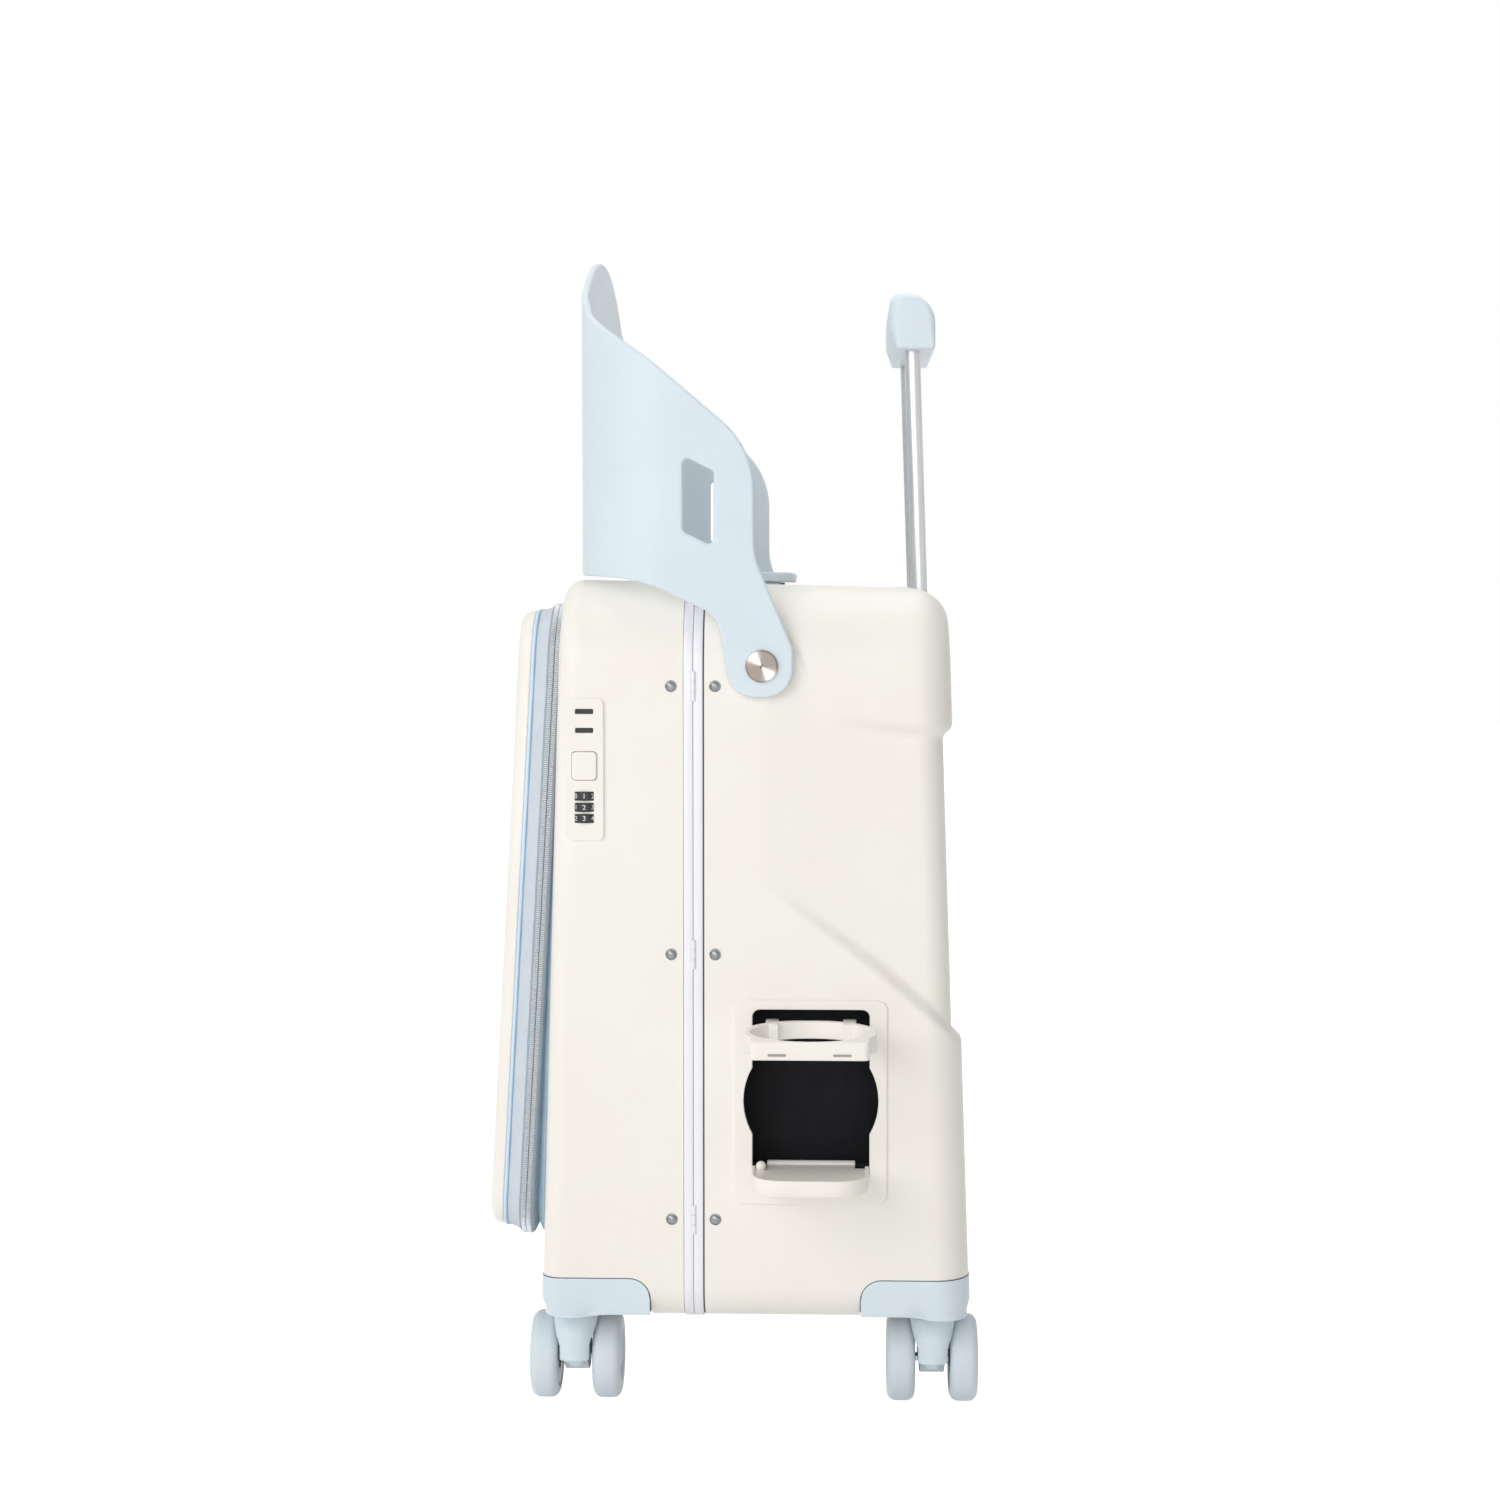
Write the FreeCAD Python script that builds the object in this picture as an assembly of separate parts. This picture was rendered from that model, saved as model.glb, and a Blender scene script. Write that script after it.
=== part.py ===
import FreeCAD
import Part
import math
import os

V = FreeCAD.Vector
FAR = 1000.0

# Case: side profile from the front foot round to the rear foot, x from the frame's seam, z from a level
# just above the floor, which the wheels reach below
case_width = 370.0
case_floor = 66.0
front_foot_x = -105.0
front_top_x = -90.0
seat_front_z = 571.0
seat_rear_z = 564.0
rear_top_x = 171.5
rear_foot_x = 188.5
front_top_round = 12.0
rear_top_round = 27.0
foot_round = 22.0
side_top_round = 61.0
side_foot_round = 25.0
front_edge_round = 14.0
rear_edge_round = 24.0
wall = 2.6
gap = 0.3

# Frame: two bars that meet at the seam, each with a flange inside its shell
frame_band = 6.5
frame_proud = 0.8
frame_reach = 24.0
flange_thick = 1.8
rivet_heights = (137.0, 318.0, 499.0)
rivet_x = 14.8
rivet_head_r = 4.0
rivet_head_rise = 1.8
rivet_shank_r = 2.0
rivet_tail_rise = 1.2
hinge_length = 20.0
hinge_leaf_thick = 1.2
hinge_knuckle_r = 1.9
hinge_pin_r = 1.0
pin_clearance = 0.05

# Stowing recess: where the guard lies when it is folded behind the rear shell
recess_depth = 6.4
recess_fade_x = 55.0
recess_top = ((50.0, 499.0), (88.0, 478.0), (126.0, 467.5))
recess_rear_top = (288.5, 464.0)
recess_low = ((124.5, 313.5), (60.0, 361.0))
recess_rear_low = (288.5, 200.0)
recess_dip_z = 221.0
recess_dip_half = 158.0
recess_dip_side_z = 272.0
recess_round = 30.0

# Guard: a bent panel round the back of the seat, on two arms
pivot_x = 46.3
pivot_z = 512.6
guard_thick = 5.0
guard_side_gap = 2.5
guard_back_x = -78.5
guard_bend = 60.0
guard_low_z = 573.4
guard_peak_z = 800.0
guard_arch_half = 159.0
guard_arch_side_z = 751.0
guard_slope_z = 754.5
guard_shoulder = (41.0, 657.6)
guard_shoulder_round = 60.0
guard_neck = (41.3, 586.0)
guard_neck_round = 45.0
guard_arm_r = 21.0
guard_notch = (17.5, 546.0)
guard_notch_round = 24.0
guard_sag = (-36.0, 570.4)
guard_sag_round = 90.0
window_left = -6.2
window_width = 20.5
window_top_z = 652.3
window_height = 50.0
window_fall = 10.3
window_round = 3.5
bush_r = 7.5
bush_clearance = 0.05
bolt_head_r = 10.8
bolt_head_rise = 2.6
bolt_shank_r = 5.0
backing_r = 13.0
backing_thick = 4.0

# Trolley handle: leans with the rear wall
tube_x = 155.0
tube_half_gap = 65.0
tube_r = 5.5
tube_wall = 1.0
tube_top_z = 738.0
tube_length = 470.0
sleeve_wall = 1.1
sleeve_clearance = 0.1
sleeve_low_z = 84.0
glide_height = 16.0
glide_clearance = 0.1
foot_height = 14.0
foot_half_width = 84.0
foot_half_depth = 11.0
bezel_half_width = 82.0
bezel_half_depth = 13.0
bezel_proud = 0.5
grip_front_x = 133.0
grip_rear_x = 165.0
grip_low_z = 732.0
grip_top_z = 771.5
grip_half_length = 83.0
grip_flank = (5.0, 13.0)
grip_end_round = 2.2
grip_rounds = (2.5, 2.5, 21.0, 8.0, 12.0)
button_half_length = 22.0
button_half_depth = 6.0
button_rise = 1.6
button_depth = 6.0
button_travel = 3.0
button_clearance = 0.25

# Carry handle on the seat
carry_x = 46.0
carry_half_depth = 19.0
carry_half_length = 95.0
carry_rise = 8.5
carry_thick = 6.7
carry_leg_depth = 12.0
carry_leg_width = 7.0
carry_leg_offset = 84.0
carry_lift = 20.0
carry_slot_clearance = 0.4
carry_stop_thick = 2.5
carry_stop_reach = 3.0
carry_lug_thick = 1.5
carry_lug_margin = 4.0

# Cup holder on the near side
cup_plate_x = (27.5, 131.0)
cup_plate_z = (148.0, 287.5)
cup_plate_thick = 2.0
cup_plate_round = 7.0
cup_x = 79.5
cup_pan_half = 39.5
cup_pan_z = (164.0, 281.0)
cup_pan_bulge_r = 45.5
cup_pan_depth = 28.5
cup_pan_wall = 1.6
cup_pan_round = 5.0
ring_hinge_z = 268.0
ring_arm = 49.0
ring_bore_r = 39.0
ring_wall = 4.5
ring_front_round = 4.0
ring_height = 12.0
ring_arm_width = 9.0
ring_arm_offset = 26.0
ring_pin_r = 2.0
tray_hinge_z = 171.4
tray_half = 38.7
tray_depth = 76.0
tray_front_round = 22.0
tray_thick = 2.6
tray_lip_rise = 8.0
tray_lip_thick = 2.4
tray_arm_half = 30.0
tray_lip_run = 0.62
tray_barrel_r = 3.6
tray_layer = 3.0
fold_clearance = 0.4

# Front pocket: a hinged tray, leaning away from the case towards its foot
door_half_width = 166.0
door_top_z = 553.0
door_low_z = 115.0
door_inset = 5.0
door_lean = 3.25
door_corner = 32.0
door_shell_depth = 9.5
door_piping = 2.2
door_band = 12.5
door_wall = 2.4
door_edge_round = 8.0
zip_width = 3.4
zip_half = 1.6
zip_proud = 0.6
slider_length = 8.0
slider_height = 3.0
slider_pull = 20.0
slider_y = (-30.0, 30.0)
gusset_thick = 2.0
gusset_clearance = 0.3

# Combination lock for the pocket's zip
lock_x = (-86.0, -60.0)
lock_z = (395.0, 491.0)
lock_proud = 2.4
lock_depth = 20.0
lock_round = 4.0
lock_slot_z = (482.0, 469.3)
lock_slot_width = 12.2
lock_slot_height = 3.4
lock_slot_depth = 8.0
lock_button_z = 445.4
lock_button_size = (16.8, 19.0)
lock_button_rise = 1.4
lock_button_travel = 1.8
lock_button_depth = 5.0
lock_button_round = 3.0
dial_z = (425.0, 417.5, 410.0)
dial_r = 9.5
dial_height = 5.6
dial_show = 2.0
dial_clearance = 0.35
dial_bore_r = 2.0

# Latches on the far side
latch_heights = (228.0, 408.0)
latch_half_height = 17.0
latch_base_reach = 34.0
latch_base_thick = 2.0
latch_pivot_x = 29.0
latch_pivot_r = 2.2
latch_lever_thick = 3.0
latch_lever_lip = 10.0
latch_clearance = 0.3
keeper_reach = 14.0

# Corner guards and casters
corner_reach_x = 75.0
corner_reach_y = 77.0
corner_top_z = 95.5
corner_inner_round = 14.0
corner_end_foot = 14.0
corner_side_foot = 8.0
corner_proud = 0.5
corner_underside_z = 70.5
caster_front_x = -84.7
caster_rear_x = 163.6
caster_inset_y = 45.0
caster_trail = 12.0
axle_z = 27.0
wheel_r = 30.0
wheel_width = 19.5
wheel_inner_gap = 24.0
wheel_shoulder = 6.0
wheel_dish = 3.0
axle_r = 3.0
axle_clearance = 0.05
boss_r = 16.5
boss_low_z = 60.5
fork_top_gap = 0.5
fork_top_r = 14.8
fork_low_r = 10.8
fork_low_z = 24.0
fork_web = 21.6
stem_r = 5.0
stem_clearance = 0.05
stem_top_z = 80.0
wheel_clearance = 1.2

half_w = case_width / 2
frame_inset = wall + flange_thick
hinge_y = -(half_w + frame_proud)
rear_lean = math.atan((rear_foot_x - rear_top_x) / (seat_rear_z - case_floor))
side_profile = (
    (front_foot_x, case_floor),
    (rear_foot_x, case_floor),
    (rear_top_x, seat_rear_z),
    (front_top_x, seat_front_z),
)
cross_top_z = max(seat_front_z, seat_rear_z)
MIRROR = ((-1, "near"), (1, "far"))


def front_x(z):
    return front_foot_x + (front_top_x - front_foot_x) * (z - case_floor) / (seat_front_z - case_floor)


def rear_x(z):
    return rear_foot_x + (rear_top_x - rear_foot_x) * (z - case_floor) / (seat_rear_z - case_floor)


def seat_z(x):
    return seat_front_z + (seat_rear_z - seat_front_z) * (x - front_top_x) / (rear_top_x - front_top_x)


# Plane helpers: a 2-D outline lies across the named axis
def place(axis, a, b, along):
    if axis == "x":
        return V(along, a, b)
    if axis == "y":
        return V(a, along, b)
    return V(a, b, along)


def offset_outline(points, distance):
    # Moves every side of an outline inwards by distance, or outwards if it is negative.
    count = len(points)
    area = sum(points[i][0] * points[(i + 1) % count][1] - points[(i + 1) % count][0] * points[i][1]
               for i in range(count))
    turn = 1.0 if area > 0 else -1.0
    lines = []
    for i in range(count):
        (ax, az), (bx, bz) = points[i], points[(i + 1) % count]
        length = math.hypot(bx - ax, bz - az)
        nx, nz = -(bz - az) / length * turn, (bx - ax) / length * turn
        lines.append((nx, nz, nx * ax + nz * az + distance))
    moved = []
    for i in range(count):
        (n1x, n1z, d1), (n2x, n2z, d2) = lines[i - 1], lines[i]
        det = n1x * n2z - n1z * n2x
        moved.append(((d1 * n2z - d2 * n1z) / det, (n1x * d2 - n2x * d1) / det))
    return moved


def outline_wire(points, rounds, axis, along):
    # A closed wire through the outline's corners, each rounded by its radius.
    edges = []
    count = len(points)
    ends = []
    for i in range(count):
        p = V(*points[i], 0)
        before = V(*points[i - 1], 0) - p
        after = V(*points[(i + 1) % count], 0) - p
        if rounds[i] <= 0:
            ends.append((p, None, p))
            continue
        before.normalize()
        after.normalize()
        half = before.getAngle(after) / 2
        reach = rounds[i] / math.tan(half)
        towards = before + after
        towards.normalize()
        centre = p + towards * (rounds[i] / math.sin(half))
        ends.append((p + before * reach, centre - towards * rounds[i], p + after * reach))
    for i in range(count):
        start, middle, end = ends[i]
        if middle is not None:
            corners = [place(axis, spot.x, spot.y, along) for spot in (start, middle, end)]
            edges.append(Part.Arc(*corners).toShape())
        following = ends[(i + 1) % count][0]
        if (following - end).Length > 1e-6:
            edges.append(Part.LineSegment(place(axis, end.x, end.y, along),
                                          place(axis, following.x, following.y, along)).toShape())
    return Part.Wire(edges)


def prism(points, rounds, axis, low, high):
    # The outline extruded along its axis from low to high; rounds is one radius or one for each corner.
    if not isinstance(rounds, (list, tuple)):
        rounds = [rounds] * len(points)
    face = Part.Face(outline_wire(points, rounds, axis, low))
    return face.extrude(place(axis, 0, 0, high - low))


def rectangle(a0, a1, b0, b1):
    return [(a0, b0), (a1, b0), (a1, b1), (a0, b1)]


def block(x0, x1, y0, y1, z0, z1):
    return Part.makeBox(x1 - x0, y1 - y0, z1 - z0, V(x0, y0, z0))


def rod(radius, start, end):
    return Part.makeCylinder(radius, (end - start).Length, start, end - start)


def ring_rod(outer, inner, start, end):
    return rod(outer, start, end).cut(rod(inner, start, end))


def joined(shapes):
    whole = shapes[0]
    for shape in shapes[1:]:
        whole = whole.fuse(shape)
    return whole.removeSplitter()


def mirrored(shape):
    return shape.mirror(V(0, 0, 0), V(0, 1, 0))


# Case forms
def case_form(inset, end_foot=foot_round, side_foot=side_foot_round):
    # The case's outer form moved inwards by inset: a leaning box with rounded edges.
    profile = offset_outline(side_profile, inset)
    half = half_w - inset
    body = prism(profile, 0, "y", -half, half)
    for edge_round, low_x, high_x in ((front_edge_round, -FAR, 0), (rear_edge_round, 0, FAR)):
        uprights = [e for e in body.Edges if abs(e.Vertexes[0].Z - e.Vertexes[-1].Z) > case_width
                    and abs(e.Vertexes[0].Y - e.Vertexes[-1].Y) < 1e-6 and low_x < e.CenterOfMass.x < high_x]
        body = body.makeFillet(edge_round - inset, uprights)
    rounds = (end_foot, end_foot, rear_top_round, front_top_round)
    side = prism(profile, [r - inset for r in rounds], "y", -FAR, FAR)
    foot, top = side_foot - inset, side_top_round - inset
    cross = prism(rectangle(-half, half, case_floor + inset, cross_top_z - inset), [foot, foot, top, top],
                  "x", -FAR, FAR)
    return body.common(side).common(cross)


def recess_space(inset):
    # What the stowing recess takes off the rear half: a band round its rear, fading out along the sides,
    # and a dip below the band on the rear wall for the folded guard's arch.
    outline = list(recess_top) + [recess_rear_top, recess_rear_low] + list(recess_low)
    band = prism(offset_outline(outline, -inset), [0, recess_round, recess_round, 0, 0, 0, recess_round], "y",
                 -FAR, FAR)
    rise = recess_dip_side_z - recess_dip_z
    dip_r = (recess_dip_half ** 2 + rise ** 2) / (2 * rise)
    dip_z = recess_dip_z + dip_r
    dip = rod(dip_r + inset, V(rear_top_x - recess_depth * 4, 0, dip_z), V(recess_rear_low[0], 0, dip_z))
    dip = dip.common(block(0, FAR, -FAR, FAR, 0, recess_rear_top[1] - recess_round))
    # The inner form that the recess leaves: its sides close in from the fade line to the rear
    core_side = prism(offset_outline(side_profile, recess_depth + inset), 0, "y", -FAR, FAR)
    core_end = rear_foot_x + recess_depth
    fade = recess_depth / (rear_top_x - recess_fade_x)
    wide = half_w - inset
    narrow = wide - fade * (core_end - recess_fade_x)
    core_plan = [(-FAR, -wide), (recess_fade_x, -wide), (core_end, -narrow), (core_end, narrow),
                 (recess_fade_x, wide), (-FAR, wide)]
    core = prism(core_plan, 0, "z", -FAR, FAR).common(core_side)
    return band.fuse(dip).cut(core)


def rear_form(inset):
    return case_form(inset).cut(recess_space(inset))


def beyond(x, rear):
    # All the space in front of x, or behind it.
    return block(x, FAR, -FAR, FAR, -FAR, FAR) if rear else block(-FAR, x, -FAR, FAR, -FAR, FAR)


# Front and rear halves of the case
def corner_space(front, grow):
    # The space of one near corner guard, below and outside its two edges
    inner_x = front_foot_x + corner_reach_x + grow if front else rear_foot_x - corner_reach_x - grow
    outer_x = front_foot_x - corner_reach_x if front else rear_foot_x + corner_reach_x
    top = corner_top_z + grow
    outline = [(outer_x, 0), (inner_x, 0), (inner_x, top), (outer_x, top)]
    return prism(outline, [0, 0, corner_inner_round, 0], "y", -half_w * 2, -half_w + corner_reach_y + grow)


def caster_place(front, side):
    return V(caster_front_x if front else caster_rear_x, side * (half_w - caster_inset_y), 0)


def corner_guard(front, side):
    space = corner_space(front, 0)
    form = case_form(-corner_proud, corner_end_foot, corner_side_foot)
    floor_low = corner_underside_z
    skin = form.cut(case_form(wall)).common(space).cut(block(-FAR, FAR, -FAR, FAR, 0, floor_low))
    floor = form.common(space).common(block(-FAR, FAR, -FAR, FAR, floor_low, floor_low + wall))
    spot = caster_place(front, -1)
    boss = rod(boss_r, spot + V(0, 0, boss_low_z), spot + V(0, 0, floor_low + wall))
    inner_boss = rod(stem_r * 2.2, spot + V(0, 0, floor_low), spot + V(0, 0, stem_top_z))
    whole = joined([skin, floor, boss, inner_boss])
    whole = whole.cut(rod(stem_r + stem_clearance, spot, spot + V(0, 0, stem_top_z * 2)))
    return whole if side < 0 else mirrored(whole)


def rivet_axis(z, rear):
    return (rivet_x if rear else -rivet_x), z


def rivet(z, rear):
    x, z = rivet_axis(z, rear)
    head_r = (rivet_head_r ** 2 + rivet_head_rise ** 2) / (2 * rivet_head_rise)
    head = Part.makeSphere(head_r, V(x, -half_w - rivet_head_rise + head_r, z))
    head = head.common(block(-FAR, FAR, -FAR, -half_w, 0, FAR))
    inside = -half_w + frame_inset + hinge_leaf_thick
    shank = rod(rivet_shank_r, V(x, -half_w - rivet_head_rise / 2, z), V(x, inside + rivet_tail_rise / 2, z))
    tail = rod(rivet_head_r * 0.8, V(x, inside, z), V(x, inside + rivet_tail_rise, z))
    return joined([head, shank, tail])


def rivet_holes(rear):
    holes = []
    for height in rivet_heights:
        x, z = rivet_axis(height, rear)
        holes.append(rod(rivet_shank_r, V(x, -half_w * 1.2, z), V(x, -half_w * 0.8, z)))
    return Part.makeCompound(holes)


def hinge_thirds(z):
    third = hinge_length / 3
    low = z - hinge_length / 2
    return [(low + third * i + gap / 2, low + third * (i + 1) - gap / 2) for i in range(3)]


def hinge_leaf(z, rear):
    sign = 1 if rear else -1
    thirds = hinge_thirds(z)
    low, high = z - hinge_length / 2, z + hinge_length / 2
    face_in = -half_w + frame_inset
    upright = block(*sorted((0, sign * hinge_leaf_thick)), hinge_y, face_in + hinge_leaf_thick, low, high)
    flat = block(*sorted((0, sign * (frame_reach - 1))), face_in, face_in + hinge_leaf_thick, low, high)
    leaf = upright.fuse(flat)
    own = thirds[1:2] if rear else [thirds[0], thirds[2]]
    other = [thirds[0], thirds[2]] if rear else thirds[1:2]
    for z0, z1 in own:
        leaf = leaf.fuse(rod(hinge_knuckle_r, V(0, hinge_y, z0), V(0, hinge_y, z1)))
    for z0, z1 in other:
        leaf = leaf.cut(rod(hinge_knuckle_r + gap, V(0, hinge_y, z0 - gap), V(0, hinge_y, z1 + gap)))
    leaf = leaf.cut(rod(hinge_pin_r + pin_clearance, V(0, hinge_y, low), V(0, hinge_y, high)))
    return leaf.cut(rivet_holes(rear)).removeSplitter()


def frame_half(rear):
    sign = 1 if rear else -1
    inner = case_form(frame_inset)
    band = case_form(-frame_proud).cut(inner)
    band = band.common(block(*sorted((0, sign * frame_band)), -FAR, FAR, 0, FAR))
    flange = case_form(wall).cut(inner)
    flange = flange.common(block(*sorted((sign * frame_band / 2, sign * frame_reach)), -FAR, FAR, 0, FAR))
    bar = band.fuse(flange).cut(rivet_holes(rear))
    face_in = -half_w + frame_inset
    for z in rivet_heights:
        low, high = z - hinge_length / 2 - gap, z + hinge_length / 2 + gap
        bar = bar.cut(rod(hinge_knuckle_r + gap, V(0, hinge_y, low), V(0, hinge_y, high)))
        slot = block(*sorted((0, sign * hinge_leaf_thick)), hinge_y - 1, face_in + 1, low, high)
        bar = bar.cut(slot)
    return bar.removeSplitter()


def lock_outline(grow):
    return rectangle(lock_x[0] - grow, lock_x[1] + grow, lock_z[0] - grow, lock_z[1] + grow)


def front_shell():
    shell = case_form(0).cut(case_form(wall)).common(beyond(-frame_band, False))
    space = corner_space(True, gap)
    shell = shell.cut(space).cut(mirrored(space)).cut(rivet_holes(False))
    return shell.cut(prism(lock_outline(gap), lock_round + gap, "y", -half_w - 10, -half_w + lock_depth))


def bezel_space(grow):
    outline = rectangle(tube_x - bezel_half_depth - grow, tube_x + bezel_half_depth + grow,
                        -bezel_half_width - grow, bezel_half_width + grow)
    return prism(outline, bezel_half_depth * 0.8, "z", seat_rear_z - bezel_half_depth * 3, FAR)


def pan_outline(grow, low, high):
    frame = prism(rectangle(cup_x - cup_pan_half - grow, cup_x + cup_pan_half + grow,
                            cup_pan_z[0] - grow, cup_pan_z[1] + grow), cup_pan_round + grow, "y", low, high)
    centre_z = ring_hinge_z - ring_arm
    bulge = rod(cup_pan_bulge_r + grow, V(cup_x, low, centre_z), V(cup_x, high, centre_z))
    return frame.fuse(bulge).removeSplitter()


def rear_shell():
    shell = rear_form(0).cut(rear_form(wall)).common(beyond(frame_band, True))
    space = corner_space(False, gap)
    shell = shell.cut(space).cut(mirrored(space)).cut(rivet_holes(True)).cut(bezel_space(gap))
    shell = shell.cut(pan_outline(cup_pan_wall + gap, -half_w - 10, -half_w + cup_pan_depth))
    for side, name in MIRROR:
        start, end = V(pivot_x, side * half_w * 0.8, pivot_z), V(pivot_x, side * half_w * 1.2, pivot_z)
        shell = shell.cut(rod(bolt_shank_r + bush_clearance, start, end))
        shell = shell.cut(carry_frame(carry_leg(side, carry_slot_clearance, -wall * 3, carry_rise)))
    return shell


# Trolley handle
def tube_point(z, side):
    return V(tube_x + (seat_rear_z - z) * math.tan(rear_lean), side * tube_half_gap, z)


def tube_drop(length):
    return V(math.sin(rear_lean), 0, -math.cos(rear_lean)) * length


def handle_tube(side):
    top = tube_point(tube_top_z, side)
    return ring_rod(tube_r, tube_r - tube_wall, top, top + tube_drop(tube_length))


def handle_glide(side):
    end = tube_point(tube_top_z, side) + tube_drop(tube_length)
    collar = rod(tube_r, end, end + tube_drop(glide_height))
    spigot = rod(tube_r - tube_wall - glide_clearance, end - tube_drop(glide_height), end + tube_drop(1))
    return joined([collar, spigot])


def sleeve_r():
    return tube_r + sleeve_clearance + sleeve_wall


def handle_sleeve(side):
    low = tube_point(sleeve_low_z, side)
    high = tube_point(seat_rear_z, side)
    sleeve = ring_rod(sleeve_r(), tube_r + sleeve_clearance, low, high)
    return sleeve.common(case_form(wall + gap))


def handle_bezel():
    plate = case_form(-bezel_proud).cut(case_form(wall)).common(bezel_space(0))
    for side, name in MIRROR:
        below, above = tube_point(seat_rear_z * 0.8, side), tube_point(seat_rear_z * 1.2, side)
        plate = plate.cut(rod(tube_r + sleeve_clearance, below, above))
    return plate


def handle_foot():
    spot = tube_point(sleeve_low_z, 1)
    low = sleeve_low_z - foot_height / 3
    beam = block(spot.x - foot_half_depth, spot.x + foot_half_depth * 0.8, -foot_half_width, foot_half_width,
                 low, low + foot_height)
    pad_x = rear_foot_x - foot_round * 1.1
    pad = block(pad_x - foot_half_depth, pad_x, -foot_half_width, foot_half_width, case_floor + wall, low + 1)
    foot = joined([beam, pad])
    for side, name in MIRROR:
        foot = foot.cut(rod(sleeve_r(), tube_point(sleeve_low_z, side), tube_point(seat_rear_z, side)))
    return foot


def handle_grip():
    outline = [(grip_front_x + grip_flank[0], grip_low_z), (grip_rear_x, grip_low_z),
               (grip_rear_x, grip_top_z), (grip_front_x, grip_top_z),
               (grip_front_x, grip_low_z + grip_flank[1])]
    bar = prism(outline, grip_rounds, "y", -grip_half_length, grip_half_length)
    ends = [e for e in bar.Edges if abs(e.Vertexes[0].Y - e.Vertexes[-1].Y) < 1e-6]
    bar = bar.makeFillet(grip_end_round, ends)
    for side, name in MIRROR:
        top = tube_point(tube_top_z, side)
        bar = bar.cut(rod(tube_r, top, top + tube_drop(tube_length)))
    return bar.cut(release_button_space(button_clearance, button_travel + gap))


def release_button_space(grow, deeper):
    x = grip_front_x + (grip_rear_x - grip_front_x) * 0.36
    outline = rectangle(x - button_half_depth - grow, x + button_half_depth + grow,
                        -button_half_length - grow, button_half_length + grow)
    low = grip_top_z - button_depth - deeper
    return prism(outline, button_half_depth * 0.7, "z", low, grip_top_z + button_rise)


# Carry handle: built on the seat plane, then leaned with it
def carry_frame(shape):
    slope = math.degrees(math.atan((seat_front_z - seat_rear_z) / (rear_top_x - front_top_x)))
    moved = shape.copy()
    moved.rotate(V(0, 0, 0), V(0, 1, 0), slope)
    moved.translate(V(carry_x, 0, seat_z(carry_x)))
    return moved


def carry_leg(side, grow, low, high):
    y = side * carry_leg_offset
    return block(-carry_leg_depth / 2 - grow, carry_leg_depth / 2 + grow, y - carry_leg_width / 2 - grow,
                 y + carry_leg_width / 2 + grow, low, high)


def carry_handle():
    top = carry_rise
    outline = rectangle(-carry_half_depth, carry_half_depth, top - carry_thick, top)
    bar = prism(outline, carry_thick * 0.45, "y", -carry_half_length, carry_half_length)
    corners = prism(rectangle(-carry_half_depth, carry_half_depth, -carry_half_length, carry_half_length),
                    carry_half_depth * 0.8, "z", -FAR, FAR)
    bar = bar.common(corners)
    low = -wall - carry_lift - gap
    pieces = [bar]
    for side, name in MIRROR:
        pieces.append(carry_leg(side, 0, low - carry_stop_thick, top - 1))
        pieces.append(carry_leg(side, carry_stop_reach, low - carry_stop_thick, low))
    return carry_frame(joined(pieces))


def carry_lug(side):
    lug = carry_leg(side, carry_lug_margin, 0, carry_lug_thick)
    return carry_frame(lug.cut(carry_leg(side, carry_slot_clearance, -1, carry_rise)))


# Guard
def guard_arm_reach():
    return half_w + guard_side_gap + guard_thick


def guard():
    reach = guard_arm_reach()
    outer = prism(rectangle(guard_back_x, FAR, -reach, reach), [guard_bend, 0, 0, guard_bend], "z", 0, FAR)
    bend = guard_bend - guard_thick
    inside = reach - guard_thick
    inner = prism(rectangle(guard_back_x + guard_thick, FAR * 2, -inside, inside), [bend, 0, 0, bend],
                  "z", 0, FAR)
    back = guard_back_x + guard_thick + 1
    top = guard_peak_z + 10
    low = pivot_z - guard_arm_r
    side_x = pivot_x + guard_arm_r
    outline = [(guard_back_x - 1, guard_low_z), (guard_back_x - 1, top), (back, top), (back, guard_slope_z),
               guard_shoulder, guard_neck, (side_x, pivot_z + guard_arm_r * 0.55), (side_x, low),
               (pivot_x - guard_arm_r, low), guard_notch, guard_sag]
    rounds = [0, 0, 0, 4, guard_shoulder_round, guard_neck_round, guard_arm_r * 0.8, guard_arm_r * 0.9,
              guard_arm_r * 0.9, guard_notch_round, guard_sag_round]
    side_view = prism(outline, rounds, "y", -FAR, FAR)
    rise = guard_peak_z - guard_arch_side_z
    arch_r = (guard_arch_half ** 2 + rise ** 2) / (2 * rise)
    arch = rod(arch_r, V(-FAR, 0, guard_peak_z - arch_r), V(FAR, 0, guard_peak_z - arch_r))
    arch = arch.fuse(block(-FAR, FAR, -FAR, FAR, 0, guard_peak_z - arch_r))
    panel = outer.cut(inner).common(side_view).common(arch)
    right = window_left + window_width
    low = window_top_z - window_height
    window = [(window_left, low), (right, low - window_fall), (right, window_top_z - window_fall),
              (window_left, window_top_z)]
    panel = panel.cut(prism(window, window_round, "y", -FAR, FAR))
    hole = rod(bush_r + bush_clearance, V(pivot_x, -FAR, pivot_z), V(pivot_x, FAR, pivot_z))
    return panel.cut(hole)


def bush_end():
    return guard_arm_reach() + gap


def guard_bush(side):
    def y(distance):
        return V(pivot_x, side * distance, pivot_z)
    sleeve = rod(bush_r, y(half_w), y(bush_end()))
    washer = rod(bush_r * 1.7, y(half_w), y(half_w + guard_side_gap - gap))
    return joined([sleeve, washer]).cut(rod(bolt_shank_r, y(half_w * 0.9), y(half_w * 1.1)))


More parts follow.
